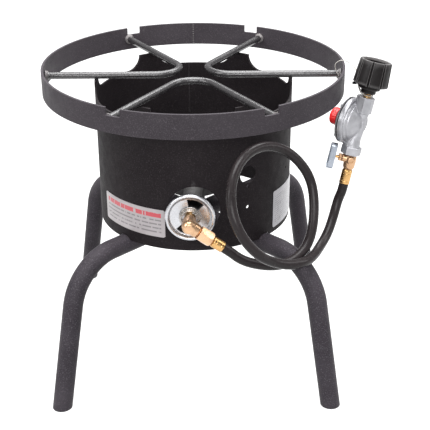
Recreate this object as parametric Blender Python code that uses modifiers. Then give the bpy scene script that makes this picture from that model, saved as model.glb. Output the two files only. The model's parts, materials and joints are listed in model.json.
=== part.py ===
"""Propane burner stand: a ring-topped, four-legged burner with its hose and regulator.

Metres, +Z up. The origin is on the floor under the pot ring's axis; the air intake
faces -Y and the regulator hangs at +X. Every sub-part is one object in the collection
propane_burner_stand, and the tools that cut them are in the collection cutters.
"""

import math

import bmesh
import bpy
from mathutils import Matrix, Vector

GAP = 0.0003
MERGE = 0.00001
FULL_TURN = 2.0 * math.pi

# Pot ring and its rods
RING_RADIUS = 0.203
RING_HEIGHT = 0.032
RING_WALL = 0.0032
RING_TOP = 0.427
NOTCH_WIDTH = 0.0206
NOTCH_DEPTH = 0.010
NOTCH_ANGLES = (65, 117, 242, 298)
ROD_RADIUS = 0.00475
ROD_HEIGHT = RING_TOP - RING_HEIGHT / 2
ROD_BEND = 0.032
ROD_SIDE_SHIFT = 0.002
ROD_BISECTORS = {"pot_rod_right": 30, "pot_rod_left": 150, "pot_rod_front": 270}

# Windscreen
SCREEN_RADIUS = 0.1335
SCREEN_WALL = 0.0025
SCREEN_BOTTOM = 0.212
SCREEN_TOP = ROD_HEIGHT - ROD_RADIUS - GAP
SCALLOP_DEPTH = 0.0195
TAB_COUNT = 6
TAB_HALF_ANGLE = 6.7
INTAKE_HEIGHT = 0.270
INTAKE_HOLE_RADIUS = 0.034
LIGHTING_ANGLE = -58.2
LIGHTING_HEIGHT = 0.312
LIGHTING_RADIUS = 0.012
SMALL_HOLES = ((LIGHTING_ANGLE, 0.2954, 0.0025), (LIGHTING_ANGLE, 0.2654, 0.0025), (-22.2, 0.295, 0.0018))

# Legs
LEG_RADIUS = 0.01325
LEG_WALL = 0.002
LEG_HEIGHT = 0.2036
LEG_TOP = LEG_HEIGHT + LEG_RADIUS
LEG_BEND = 0.072
LEG_SPLAY = math.radians(11.6)
FOOT_REACH = 0.258
LEG_ANGLES = {"leg_back_right": 45, "leg_back_left": 135, "leg_front_left": 225, "leg_front_right": 315}

# Burner and air intake, along the intake axis measured out from the burner's centre
BURNER_YAW = math.radians(-1.9)
HEAD_RADIUS = 0.050
HEAD_TOP = 0.306
HEAD_PLATE = 0.0055
BOWL_FLOOR = 0.252
BOLT_RADIUS = 0.004
WEB_FRONT = 0.1495
WEB_THICKNESS = 0.0035
SHUTTER_RADIUS = 0.0325
SHUTTER_BACK = WEB_FRONT + GAP + 0.0002
SHUTTER_SHEET = 0.0014
SHUTTER_RIM = 0.006
WINDOW_INNER = 0.0135
WINDOW_OUTER = 0.0245
WINDOW_SPAN = 56
WINDOW_ANGLES = (71, 251)
SPUD_RADIUS = 0.006
ELBOW_BACK = 0.1615
ELBOW_CORNER = 0.178
ELBOW_RADIUS = 0.0088

# Hose fittings, measured along the elbow's outlet and along the regulator's axis
INLET_DIRECTION = Vector((0.812, 0.0, -0.583))
HOSE_RADIUS = 0.0065
FERRULE_RADIUS = 0.0074
FLARE_NUT = (0.015, 0.0345)
LOWER_FERRULE = (0.035, 0.052)

# Regulator, from the hose's upper end to the cylinder nut, in its own units of REGULATOR_SCALE metres
REGULATOR_SCALE = 0.945
REGULATOR_FOOT = Vector((0.2007, -0.0750, 0.2814))
REGULATOR_DIRECTION = Vector((0.211, 0.100, 0.972))
BONNET_DIRECTION = Vector((-0.80, 0.60, 0.08))
BONNET_OFFSET = 0.0130
VALVE_CENTRE = 0.0365
DIAPHRAGM_CENTRE = 0.0885
REGULATOR_RADIUS = 0.033
NUT_BACK = 0.133
NUT_SKIRT = 0.145
NUT_MOUTH = 0.179
NUT_BORE = 0.0172
NUT_LOBES = 8
NUT_TURN = 0.38

# The hose's route: out of the lower ferrule, once round the loop that leans on the
# front right leg and the windscreen, then up to the regulator
HOSE_LEADS = (0.0, 0.006, 0.014)
HOSE_START = (
    (0.0603, -0.1780, 0.2202),
    (0.0854, -0.1715, 0.2093),
    (0.1120, -0.1621, 0.2033),
    (0.1357, -0.1512, 0.2090),
    (0.1567, -0.1271, 0.2269),
)
LOOP_CENTRE = Vector((0.1040, -0.1479, 0.2863))
LOOP_NORMAL = Vector((0.620, -0.638, 0.456))
LOOP_RADIUS = 0.0763
LOOP_START = -3.4
LOOP_STEP = 25.36
LOOP_COUNT = 10
HOSE_END = (
    (0.0988, -0.1887, 0.2235),
    (0.1206, -0.1803, 0.2137),
    (0.1351, -0.1737, 0.2133),
    (0.1516, -0.1578, 0.2101),
    (0.1657, -0.1253, 0.2115),
    (0.1783, -0.1061, 0.2214),
    (0.1881, -0.0849, 0.2398),
    (0.1936, -0.0774, 0.2596),
)
HOSE_POINTS = 66

COLOURS = {
    "black_powder_coat": ((0.045, 0.040, 0.045), 0.55, 0.0),
    "cast_iron": ((0.25, 0.25, 0.26), 0.75, 0.3),
    "zinc": ((0.62, 0.63, 0.66), 0.35, 0.9),
    "spring_steel": ((0.42, 0.42, 0.44), 0.3, 1.0),
    "brass": ((0.72, 0.50, 0.25), 0.35, 1.0),
    "rubber": ((0.025, 0.020, 0.020), 0.45, 0.0),
    "die_cast": ((0.50, 0.51, 0.54), 0.45, 0.7),
    "red_plastic": ((0.80, 0.03, 0.02), 0.4, 0.0),
    "black_plastic": ((0.015, 0.014, 0.016), 0.5, 0.0),
    "label_film": ((0.55, 0.53, 0.55), 0.4, 0.2),
    "white_plastic": ((0.75, 0.73, 0.70), 0.5, 0.0),
}


def clear_scene():
    for thing in list(bpy.data.objects):
        bpy.data.objects.remove(thing)


def collection(name):
    group = bpy.data.collections.new(name)
    bpy.context.scene.collection.children.link(group)
    return group


def make_materials():
    for name, (colour, roughness, metallic) in COLOURS.items():
        material = bpy.data.materials.new(name)
        material.use_nodes = True
        shader = material.node_tree.nodes["Principled BSDF"]
        shader.inputs["Base Color"].default_value = (*colour, 1.0)
        shader.inputs["Roughness"].default_value = roughness
        shader.inputs["Metallic"].default_value = metallic


def axis_frame(origin, along, side):
    """A placement whose Z is along and whose X is side, made square to it."""
    z = Vector(along).normalized()
    x = (Vector(side) - z * z.dot(Vector(side))).normalized()
    y = z.cross(x)
    return Matrix.Translation(origin) @ Matrix((x, y, z)).transposed().to_4x4()


def regulator_frame(origin, along, side):
    """A placement in the regulator's own units."""
    return axis_frame(origin, along, side) @ Matrix.Scale(REGULATOR_SCALE, 4)


def radial_frame(degrees, height):
    """A placement at the ring's axis whose Z points outward at an angle."""
    angle = math.radians(degrees)
    outward = Vector((math.cos(angle), math.sin(angle), 0.0))
    return axis_frame((0.0, 0.0, height), outward, (0.0, 0.0, 1.0))


def empty(name, placement):
    marker = bpy.data.objects.new(name, None)
    marker.matrix_world = placement
    PARTS.objects.link(marker)
    return marker


def place(thing, material, parent):
    PARTS.objects.link(thing)
    thing.parent = parent
    thing.data.materials.clear()
    thing.data.materials.append(bpy.data.materials[material])


def smooth(thing):
    thing.data.shade_smooth()
    thing.data.set_sharp_from_angle(angle=math.radians(35))


def turned(name, profile, steps=32):
    """A turned solid about its own Z from (radius, height) points, outer side downward."""
    mesh = bpy.data.meshes.new(name)
    points = [(radius, 0.0, height) for radius, height in profile]
    count = len(points)
    open_ends = profile[0][0] == 0.0 and profile[-1][0] == 0.0
    edges = [(i, i + 1) for i in range(count - 1)]
    if not open_ends:
        edges.append((count - 1, 0))
    mesh.from_pydata(points, edges, [])
    thing = bpy.data.objects.new(name, mesh)
    screw = thing.modifiers.new("turn", "SCREW")
    screw.steps = steps
    screw.render_steps = steps
    screw.use_merge_vertices = True
    screw.merge_threshold = MERGE
    return baked(thing, name)


def baked(thing, name, move=None):
    """The evaluated mesh of a loose object, as a new object with welded ends."""
    scene_objects = bpy.context.scene.collection.objects
    if name not in scene_objects:
        scene_objects.link(thing)
    graph = bpy.context.evaluated_depsgraph_get()
    mesh = bpy.data.meshes.new_from_object(thing.evaluated_get(graph))
    work = bmesh.new()
    work.from_mesh(mesh)
    bmesh.ops.remove_doubles(work, verts=work.verts, dist=MERGE)
    if move is not None:
        bmesh.ops.transform(work, matrix=move, verts=work.verts)
    work.to_mesh(mesh)
    work.free()
    bpy.data.objects.remove(thing)
    mesh.name = name
    result = bpy.data.objects.new(name, mesh)
    smooth(result)
    return result


def tube_profile(outer, inner, low, high):
    return [(outer, high), (outer, low), (inner, low), (inner, high)]


def straight(name, sides, radius, low, high):
    """A straight bar about Z with a corner towards +X."""
    work = bmesh.new()
    bmesh.ops.create_cone(
        work, cap_ends=True, segments=sides, radius1=radius, radius2=radius, depth=high - low
    )
    bmesh.ops.translate(work, vec=(0.0, 0.0, (low + high) / 2), verts=work.verts)
    mesh = bpy.data.meshes.new(name)
    work.to_mesh(mesh)
    work.free()
    return bpy.data.objects.new(name, mesh)


def rod(name, radius, low, high, steps=24):
    thing = straight(name, steps, radius, low, high)
    smooth(thing)
    return thing


def prism(name, sides, across, low, high):
    """A prism about Z, given its size across flats, with a flat towards +X."""
    thing = straight(name, sides, across / 2 / math.cos(math.pi / sides), low, high)
    thing.data.transform(Matrix.Rotation(math.pi / sides, 4, "Z"))
    return thing


def block(name, low, high):
    """A box between two corners."""
    low = Vector(low)
    high = Vector(high)
    work = bmesh.new()
    bmesh.ops.create_cube(work, size=1.0)
    bmesh.ops.scale(work, vec=high - low, verts=work.verts)
    bmesh.ops.translate(work, vec=(low + high) / 2, verts=work.verts)
    mesh = bpy.data.meshes.new(name)
    work.to_mesh(mesh)
    work.free()
    return bpy.data.objects.new(name, mesh)


def plate(name, outline, low, high):
    """A flat outline in XY, thickened between two heights."""
    curve = bpy.data.curves.new(name, "CURVE")
    curve.dimensions = "2D"
    curve.fill_mode = "BOTH"
    curve.extrude = (high - low) / 2
    spline = curve.splines.new("POLY")
    spline.points.add(len(outline) - 1)
    for point, (x, y) in zip(spline.points, outline):
        point.co = (x, y, 0.0, 1.0)
    spline.use_cyclic_u = True
    thing = bpy.data.objects.new(name, curve)
    return baked(thing, name, Matrix.Translation((0.0, 0.0, (low + high) / 2)))


def wire(name, points, radius, roundness=2, closed=False, capped=True):
    """A round wire or tube through points."""
    curve = bpy.data.curves.new(name, "CURVE")
    curve.dimensions = "3D"
    curve.bevel_depth = radius
    curve.bevel_resolution = roundness
    curve.use_fill_caps = capped and not closed
    spline = curve.splines.new("POLY")
    spline.points.add(len(points) - 1)
    for point, place_at in zip(spline.points, points):
        point.co = (*place_at, 1.0)
    spline.use_cyclic_u = closed
    return baked(bpy.data.objects.new(name, curve), name)


def combine(target, other, operation, placement=None):
    """Cuts or joins another solid into the target, and keeps it as a hidden tool."""
    CUTTERS.objects.link(other)
    other.hide_render = True
    other.display_type = "WIRE"
    if placement is not None:
        other.matrix_world = placement
    change = target.modifiers.new(other.name, "BOOLEAN")
    change.operation = operation
    change.object = other
    change.solver = "EXACT"


def settle(target):
    """Applies a solid's modifiers, with its tools in the solid's own frame."""
    name = target.name
    target.name = name + "_raw"
    return baked(target, name)


def arc(centre, radius, start, end, count):
    """Points round an arc in a plane, angles in degrees."""
    points = []
    for step in range(count + 1):
        angle = math.radians(start + (end - start) * step / count)
        points.append((centre[0] + radius * math.cos(angle), centre[1] + radius * math.sin(angle)))
    return points


def wedge_outline(inner, outer, middle, span, count=6):
    """The outline of a ring sector."""
    half = span / 2
    far = arc((0.0, 0.0), outer, middle - half, middle + half, count)
    near = arc((0.0, 0.0), inner, middle + half, middle - half, count)
    return far + near


def coil_points(low, high, start_radius, end_radius, turns, per_turn=10):
    count = int(turns * per_turn)
    points = []
    for step in range(count + 1):
        part = step / count
        angle = FULL_TURN * turns * part
        radius = start_radius + (end_radius - start_radius) * part
        points.append((radius * math.cos(angle), radius * math.sin(angle), low + (high - low) * part))
    return points


def smooth_route(points, count):
    """Evenly spaced points on the cubic B-spline that starts and ends on the given ones."""
    ends = [points[0] * 2 - points[1]] + points + [points[-1] * 2 - points[-2]]
    fine = []
    for a, b, c, d in zip(ends, ends[1:], ends[2:], ends[3:]):
        for step in range(20):
            t = step / 20
            bend = (a - b * 2 + c) * 3 * t**2 + (b * 3 - a - c * 3 + d) * t**3
            fine.append((a + b * 4 + c + (c - a) * 3 * t + bend) / 6)
    fine.append(points[-1])
    lengths = [0.0]
    for before, after in zip(fine, fine[1:]):
        lengths.append(lengths[-1] + (after - before).length)
    even = []
    place_at = 0
    for step in range(count):
        wanted = lengths[-1] * step / (count - 1)
        while place_at < len(fine) - 2 and lengths[place_at + 1] < wanted:
            place_at += 1
        part = (wanted - lengths[place_at]) / (lengths[place_at + 1] - lengths[place_at])
        even.append(fine[place_at].lerp(fine[place_at + 1], min(part, 1.0)))
    return even


def ring_band():
    low = RING_TOP - RING_HEIGHT
    inner = RING_RADIUS - RING_WALL
    band = turned("ring_band", tube_profile(RING_RADIUS, inner, low, RING_TOP), 72)
    for degrees in NOTCH_ANGLES:
        notch = block(
            f"notch_{degrees}",
            (-NOTCH_DEPTH, -NOTCH_WIDTH / 2, inner - 0.01),
            (NOTCH_DEPTH, NOTCH_WIDTH / 2, RING_RADIUS + 0.01),
        )
        combine(band, notch, "DIFFERENCE", radial_frame(degrees, RING_TOP))
    place(band, "black_powder_coat", STAND)


def pot_rod(name, bisector):
    """One rod bent to a narrow V, whose two ends meet the ring band."""
    corner = -2.0 * ROD_SIDE_SHIFT
    reach = RING_RADIUS - RING_WALL - GAP - 0.0002
    half = math.radians(30)
    along = math.sqrt(reach**2 - ROD_SIDE_SHIFT**2) + math.sqrt(3.0) * ROD_SIDE_SHIFT
    tip = (corner + along * math.cos(half), along * math.sin(half))
    bend = arc((corner + 2 * ROD_BEND, 0.0), ROD_BEND, 120, 240, 12)
    outline = [tip] + bend + [(tip[0], -tip[1])]
    points = [(x, y, ROD_HEIGHT) for x, y in outline]
    piece = wire(name, points, ROD_RADIUS, 2)
    piece.rotation_euler.z = math.radians(bisector)
    place(piece, "black_powder_coat", STAND)


def windscreen():
    inner = SCREEN_RADIUS - SCREEN_WALL
    screen = turned("windscreen", tube_profile(SCREEN_RADIUS, inner, SCREEN_BOTTOM, SCREEN_TOP), 72)
    pitch = 360 / TAB_COUNT
    half = SCREEN_RADIUS * math.sin(math.radians(pitch / 2 - TAB_HALF_ANGLE))
    radius = SCALLOP_DEPTH
    floor = SCREEN_TOP - SCALLOP_DEPTH
    corner_height = floor + radius
    outline = arc((corner_height, half - radius), radius, 90, 180, 5)
    outline += arc((corner_height, radius - half), radius, 180, 270, 5)
    top = SCREEN_TOP + 0.01
    outline += [(top, -half), (top, half)]
    for number in range(TAB_COUNT):
        scallop = plate(f"scallop_{number}", outline, inner - 0.03, SCREEN_RADIUS + 0.02)
        combine(screen, scallop, "DIFFERENCE", radial_frame(pitch * (number + 0.5), 0.0))
    holes = [(-90, INTAKE_HEIGHT, INTAKE_HOLE_RADIUS), (LIGHTING_ANGLE, LIGHTING_HEIGHT, LIGHTING_RADIUS)]
    holes += SMALL_HOLES
    for number, (degrees, height, radius) in enumerate(holes):
        sides = 24 if radius > 0.01 else 8
        drill = rod(f"screen_hole_{number}", radius, inner - 0.03, SCREEN_RADIUS + 0.02, sides)
        combine(screen, drill, "DIFFERENCE", radial_frame(degrees, height))
    for name, degrees in LEG_ANGLES.items():
        notch = rod(f"screen_notch_{name}", LEG_RADIUS + GAP, inner - 0.03, SCREEN_RADIUS + 0.02, 16)
        combine(screen, notch, "DIFFERENCE", radial_frame(degrees, LEG_HEIGHT))
    place(screen, "black_powder_coat", STAND)


def legs():
    """Four bent tubes that meet in a mitred cross under the burner."""
    turn = 90 - math.degrees(LEG_SPLAY)
    knee = FOOT_REACH - math.tan(LEG_SPLAY) * LEG_HEIGHT
    tangent = LEG_BEND * math.tan(math.radians(turn) / 2)
    bend = arc((knee - tangent, LEG_HEIGHT - LEG_BEND), LEG_BEND, 90, 90 - turn, 10)
    below = 0.01
    path = [(-0.02, LEG_HEIGHT)] + bend + [(FOOT_REACH + math.tan(LEG_SPLAY) * below, -below)]
    tube = wire("leg_tube", [(x, 0.0, z) for x, z in path], LEG_RADIUS, 3, capped=False)
    shell = tube.modifiers.new("wall", "SOLIDIFY")
    shell.thickness = LEG_WALL
    shell.offset = -1.0
    tube = settle(tube)
    floor = block("leg_floor_tool", (0.0, -0.1, -0.1), (0.5, 0.1, 0.0))
    combine(tube, floor, "DIFFERENCE")
    for degrees in (45, 135):
        mitre = block(f"leg_mitre_tool_{degrees}", (-0.1, -GAP / 2, -0.1), (0.3, 0.2, 0.5))
        mitre.data.transform(Matrix.Rotation(math.radians(degrees), 4, "Z"))
        combine(tube, mitre, "DIFFERENCE")
    drill = rod("leg_bolt_tool", BOLT_RADIUS + GAP, 0.1, 0.3, 16)
    combine(tube, drill, "DIFFERENCE")
    tube = settle(tube)
    for name, degrees in LEG_ANGLES.items():
        leg = bpy.data.objects.new(name, tube.data)
        leg.rotation_euler.z = math.radians(degrees)
        place(leg, "black_powder_coat", STAND)
    bpy.data.objects.remove(tube)


def burner():
    """Cast bowl with its mixing tube, the ported plate on it, and their two bolts."""
    outside = [
        (0.0, WEB_FRONT), (0.0280, WEB_FRONT), (0.0280, 0.143), (0.0235, 0.134), (0.0160, 0.118),
        (0.0122, 0.100), (0.0135, 0.060), (0.018, 0.030), (0.0, 0.030),
    ]
    back = WEB_FRONT - WEB_THICKNESS
    bore = [
        (0.0, back), (0.0255, back), (0.0205, 0.134), (0.0130, 0.118), (0.0092, 0.100), (0.0105, 0.055),
        (0.0125, 0.020), (0.0, 0.020),
    ]
    to_intake = INTAKE.matrix_world
    bowl_bottom = BOWL_FLOOR - 0.006
    plate_bottom = HEAD_TOP - HEAD_PLATE
    bowl = [
        (0.0, plate_bottom - GAP), (HEAD_RADIUS, plate_bottom - GAP), (HEAD_RADIUS, 0.272),
        (0.040, bowl_bottom), (0.014, bowl_bottom), (0.014, LEG_TOP + GAP), (0.0, LEG_TOP + GAP),
    ]
    cavity = [
        (0.0465, HEAD_TOP), (0.0465, 0.274), (0.038, BOWL_FLOOR), (0.009, BOWL_FLOOR), (0.009, HEAD_TOP),
    ]
    casting = turned("burner_casting", bowl, 28)
    combine(casting, turned("mixing_tube_tool", outside, 24), "UNION", to_intake)
    combine(casting, turned("bowl_cavity_tool", cavity, 28), "DIFFERENCE")
    combine(casting, turned("mixing_bore_tool", bore, 20), "DIFFERENCE", to_intake)
    pillar = rod("bowl_pillar_tool", 0.009, 0.244, plate_bottom - GAP, 16)
    combine(casting, pillar, "UNION")
    for degrees in WINDOW_ANGLES:
        outline = wedge_outline(WINDOW_INNER, WINDOW_OUTER, degrees, WINDOW_SPAN)
        window = plate(f"web_window_{degrees}", outline, back - 0.003, WEB_FRONT + 0.003)
        combine(casting, window, "DIFFERENCE", to_intake)
    spud_hole = rod("spud_hole_tool", SPUD_RADIUS + GAP, back - 0.003, WEB_FRONT + 0.003, 16)
    combine(casting, spud_hole, "DIFFERENCE", to_intake)
    bolt_hole = rod("burner_bolt_hole", BOLT_RADIUS + GAP, 0.2, 0.236, 16)
    combine(casting, bolt_hole, "DIFFERENCE")
    screw_hole = rod("head_screw_hole", 0.0033, 0.280, HEAD_TOP, 16)
    combine(casting, screw_hole, "DIFFERENCE")
    place(casting, "cast_iron", STAND)

    head = rod("burner_head_plate", HEAD_RADIUS, plate_bottom, HEAD_TOP, 28)
    for ring_radius, ports in ((0.022, 8), (0.038, 14)):
        for number in range(ports):
            port = rod(f"port_{ports}_{number}", 0.0022, plate_bottom - 0.002, HEAD_TOP + 0.002, 6)
            angle = FULL_TURN * number / ports
            spot = Vector((ring_radius * math.cos(angle), ring_radius * math.sin(angle), 0.0))
            combine(head, port, "DIFFERENCE", Matrix.Translation(spot))
    clearance = rod("head_screw_clearance", 0.0033, plate_bottom - 0.002, HEAD_TOP + 0.002, 12)
    combine(head, clearance, "DIFFERENCE")
    place(head, "cast_iron", STAND)

    screw = prism("burner_head_screw", 6, 0.010, HEAD_TOP + GAP, HEAD_TOP + 0.005)
    combine(screw, rod("head_screw_shank", 0.003, 0.282, HEAD_TOP + 0.003, 12), "UNION")
    place(screw, "zinc", STAND)

    crossing_bottom = LEG_HEIGHT - LEG_RADIUS
    bolt = prism("burner_bolt", 6, 0.013, crossing_bottom - GAP - 0.0053, crossing_bottom - GAP)
    combine(bolt, rod("burner_bolt_shank", BOLT_RADIUS, crossing_bottom - 0.003, 0.234, 12), "UNION")
    place(bolt, "zinc", STAND)


def air_intake():
    """Shutter, its spring, the orifice spud and the elbow, on the intake axis."""
    front = SHUTTER_BACK + SHUTTER_SHEET
    rim = SHUTTER_BACK + SHUTTER_RIM
    sheet_edge = SHUTTER_RADIUS - SHUTTER_SHEET
    profile = [
        (SHUTTER_RADIUS, rim), (SHUTTER_RADIUS, SHUTTER_BACK), (SPUD_RADIUS + GAP, SHUTTER_BACK),
        (SPUD_RADIUS + GAP, front), (sheet_edge, front), (sheet_edge, rim),
    ]
    shutter = turned("air_shutter", profile, 32)
    for degrees in WINDOW_ANGLES:
        outline = wedge_outline(WINDOW_INNER, WINDOW_OUTER, degrees, WINDOW_SPAN)
        window = plate(f"shutter_window_{degrees}", outline, SHUTTER_BACK - 0.002, front + 0.002)
        combine(shutter, window, "DIFFERENCE", INTAKE.matrix_world)
    place(shutter, "zinc", INTAKE)

    thickness = 0.0008
    coil = coil_points(front + thickness + GAP, ELBOW_BACK - thickness - GAP, 0.0142, 0.0104, 3.2)
    place(wire("shutter_spring", coil, thickness, 1), "spring_steel", INTAKE)

    spud = turned("orifice_spud", [
        (0.0, ELBOW_BACK - GAP), (SPUD_RADIUS, ELBOW_BACK - GAP), (SPUD_RADIUS, 0.140), (0.0040, 0.136),
        (0.0016, 0.132), (0.0, 0.132),
    ], 20)
    place(spud, "brass", INTAKE)

    elbow = turned("brass_elbow", [
        (0.0, 0.1880), (0.0058, 0.1874), (0.0086, 0.1846), (0.0095, 0.1800), (0.0095, 0.1730),
        (ELBOW_RADIUS, 0.1695), (ELBOW_RADIUS, ELBOW_BACK), (0.0, ELBOW_BACK),
    ], 24)
    arm = turned("elbow_arm", [
        (0.0, 0.026), (0.0070, 0.0255), (0.0072, 0.0135), (0.0086, 0.0122), (0.0090, 0.0), (0.0, 0.0),
    ], 24)
    combine(elbow, arm, "UNION", LOWER_FITTING.matrix_world)
    place(elbow, "brass", INTAKE)


def lower_fitting():
    """The flare nut and the crimped ferrule on the hose's burner end."""
    low, high = FLARE_NUT
    nut = prism("flare_nut", 6, 0.0175, low, high)
    thread = rod("flare_nut_bore", 0.0075, low - 0.002, high - 0.005, 20)
    combine(nut, thread, "DIFFERENCE", LOWER_FITTING.matrix_world)
    neck = rod("flare_nut_neck", 0.0052, low, high + 0.002, 16)
    combine(nut, neck, "DIFFERENCE", LOWER_FITTING.matrix_world)
    place(nut, "brass", LOWER_FITTING)
    start, end = LOWER_FERRULE
    ferrule = turned("lower_ferrule", [
        (0.0, end), (FERRULE_RADIUS, end), (FERRULE_RADIUS, start + 0.002), (0.0062, start + 0.0005),
        (0.0049, start + 0.0005), (0.0049, start - 0.0055), (0.0065, start - 0.0060),
        (0.0065, start - 0.0080), (0.0, start - 0.0080),
    ], 24)
    place(ferrule, "brass", LOWER_FITTING)


def hose_route():
    loop_side = Vector((-LOOP_NORMAL.y, LOOP_NORMAL.x, 0.0)).normalized()
    loop_up = LOOP_NORMAL.normalized().cross(loop_side)
    ferrule_mouth = LOWER_FERRULE[1] + GAP
    points = [LOWER_FITTING.matrix_world @ Vector((0.0, 0.0, ferrule_mouth + run)) for run in HOSE_LEADS]
    points += [Vector(spot) for spot in HOSE_START]
    for number in range(LOOP_COUNT):
        angle = math.radians(LOOP_START + LOOP_STEP * number)
        spoke = loop_side * math.cos(angle) + loop_up * math.sin(angle)
        points.append(LOOP_CENTRE + spoke * LOOP_RADIUS)
    points += [Vector(spot) for spot in HOSE_END]
    points += [REGULATOR.matrix_world @ Vector((0.0, 0.0, -GAP - run)) for run in reversed(HOSE_LEADS)]
    return points


def hose():
    place(wire("gas_hose", smooth_route(hose_route(), HOSE_POINTS), HOSE_RADIUS, 2), "rubber", STAND)


def regulator_line():
    """Upper ferrule, needle valve and its handle."""
    ferrule = turned("upper_ferrule", [
        (0.0, 0.0215), (0.0068, 0.0215), (0.0074, 0.0205), (0.0074, 0.0050), (0.0080, 0.0040),
        (0.0080, 0.0010), (0.0074, 0.0), (0.0, 0.0),
    ], 24)
    place(ferrule, "brass", REGULATOR)
    body = turned("valve_body", [
        (0.0, 0.0432), (0.0066, 0.0432), (0.0066, 0.0420), (0.0078, 0.0410), (0.0084, 0.0300),
        (0.0078, 0.0235), (0.0060, 0.0218), (0.0, 0.0218),
    ], 24)
    arm = rod("valve_arm", 0.0056, 0.0, 0.0125, 20)
    combine(body, arm, "UNION", VALVE_STEM.matrix_world)
    place(body, "brass", REGULATOR)
    packing = prism("packing_nut", 6, 0.0095, 0.0128, 0.0175)
    hole = rod("packing_nut_hole", 0.0023, 0.010, 0.020, 12)
    combine(packing, hole, "DIFFERENCE", VALVE_STEM.matrix_world)
    place(packing, "brass", VALVE_STEM)
    place(rod("valve_stem", 0.0020, 0.0129, 0.0225, 12), "brass", VALVE_STEM)

    web = 0.0020
    inner = 0.0227
    outer = 0.0310
    half_length = 0.0188
    half_width = 0.0055
    handle = block("valve_handle", (-half_length, -half_width, inner), (half_length, half_width, outer))
    groove = block(
        "handle_groove",
        (-half_length + 0.002, -half_width + 0.0016, inner + web),
        (half_length - 0.002, half_width - 0.0016, outer + 0.002),
    )
    combine(handle, groove, "DIFFERENCE", VALVE_STEM.matrix_world)
    screw_hole = rod("handle_screw_hole", 0.0017, inner - 0.002, inner + web + 0.002, 10)
    combine(handle, screw_hole, "DIFFERENCE", VALVE_STEM.matrix_world)
    place(handle, "zinc", VALVE_STEM)
    screw = turned("handle_screw", [
        (0.0, inner + web + 0.0022), (0.0025, inner + web + 0.0018), (0.0028, inner + web + GAP),
        (0.0014, inner + web + GAP), (0.0014, inner + 0.0002), (0.0, inner + 0.0002),
    ], 12)
    place(screw, "zinc", VALVE_STEM)


def regulator():
    """Body with its two ports, diaphragm, bonnet, spring, adjusting screw and knob."""
    body = prism("regulator_body", 6, 0.0250, 0.0435, 0.0550)
    body.data.transform(Matrix.Translation((0.0025, 0.0, 0.0)))
    ridge = rod("regulator_ridge", 0.0078, 0.0500, 0.1200, 24)
    combine(body, ridge, "UNION", REGULATOR.matrix_world)
    shoulder = rod("regulator_shoulder", 0.0117, 0.0500, 0.0690, 24)
    combine(body, shoulder, "UNION", REGULATOR.matrix_world @ Matrix.Translation((0.0042, 0.0, 0.0)))
    inlet = prism("regulator_inlet", 8, 0.0238, 0.1050, 0.1280)
    combine(body, inlet, "UNION", REGULATOR.matrix_world @ Matrix.Translation((0.0010, 0.0, 0.0)))
    disc = turned("regulator_disc", [
        (0.0, 0.0060), (REGULATOR_RADIUS, 0.0060), (REGULATOR_RADIUS, -0.0015), (0.0295, -0.0035),
        (0.0270, -0.0075), (0.0200, -0.0130), (0.0110, -0.0180), (0.0, -0.0195),
    ], 28)
    combine(body, disc, "UNION", BONNET.matrix_world)
    seat = rod("bonnet_seat", REGULATOR_RADIUS + GAP, 0.0050, 0.0300, 28)
    combine(body, seat, "DIFFERENCE", BONNET.matrix_world)
    recess = rod("diaphragm_recess", 0.0240, -0.0010, 0.0070, 20)
    combine(body, recess, "DIFFERENCE", BONNET.matrix_world)
    socket = rod("nipple_socket", 0.0062, 0.1222, 0.1300, 20)
    combine(body, socket, "DIFFERENCE", REGULATOR.matrix_world)

    diaphragm = rod("regulator_diaphragm", REGULATOR_RADIUS - 0.0006, 0.0053, 0.0063, 28)
    bonnet = turned("regulator_bonnet", [
        (0.0145, 0.0180), (0.0170, 0.0165), (0.0240, 0.0115), (0.0250, 0.0090), (REGULATOR_RADIUS, 0.0090),
        (REGULATOR_RADIUS, 0.0066), (0.0225, 0.0066), (0.0205, 0.0095), (0.0140, 0.0145), (0.0060, 0.0150),
        (0.0060, 0.0180),
    ], 28)
    for number in range(4):
        angle = FULL_TURN * (number + 0.5) / 4
        spot = Matrix.Translation((0.0292 * math.cos(angle), 0.0292 * math.sin(angle), 0.0))
        at_screw = BONNET.matrix_world @ spot
        for target in (body, diaphragm, bonnet):
            hole = rod(f"{target.name}_hole_{number}", 0.0019, -0.0005, 0.012, 8)
            combine(target, hole, "DIFFERENCE", at_screw)
        screw = turned(f"bonnet_screw_{number + 1}", [
            (0.0, 0.0115), (0.0022, 0.0112), (0.0029, 0.0100), (0.0029, 0.0093), (0.0016, 0.0093),
            (0.0016, 0.0), (0.0, 0.0),
        ], 8)
        screw.matrix_local = spot
        place(screw, "zinc", BONNET)
    place(body, "die_cast", REGULATOR)
    place(diaphragm, "rubber", BONNET)
    place(bonnet, "die_cast", BONNET)

    place(rod("spring_plate", 0.0125, 0.0066, 0.0074, 24), "zinc", BONNET)
    coil = coil_points(0.0085, 0.0122, 0.0088, 0.0088, 2.2)
    place(wire("regulator_spring", coil, 0.0007, 1), "spring_steel", BONNET)
    screw = rod("adjusting_screw", 0.0056, 0.0133, 0.0190, 20)
    place(screw, "brass", BONNET)
    knob = turned("regulator_knob", [
        (0.0, 0.0315), (0.0085, 0.0315), (0.0112, 0.0300), (0.0125, 0.0270), (0.0125, 0.0193), (0.0, 0.0193),
    ], 32)
    place(knob, "red_plastic", BONNET)


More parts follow.
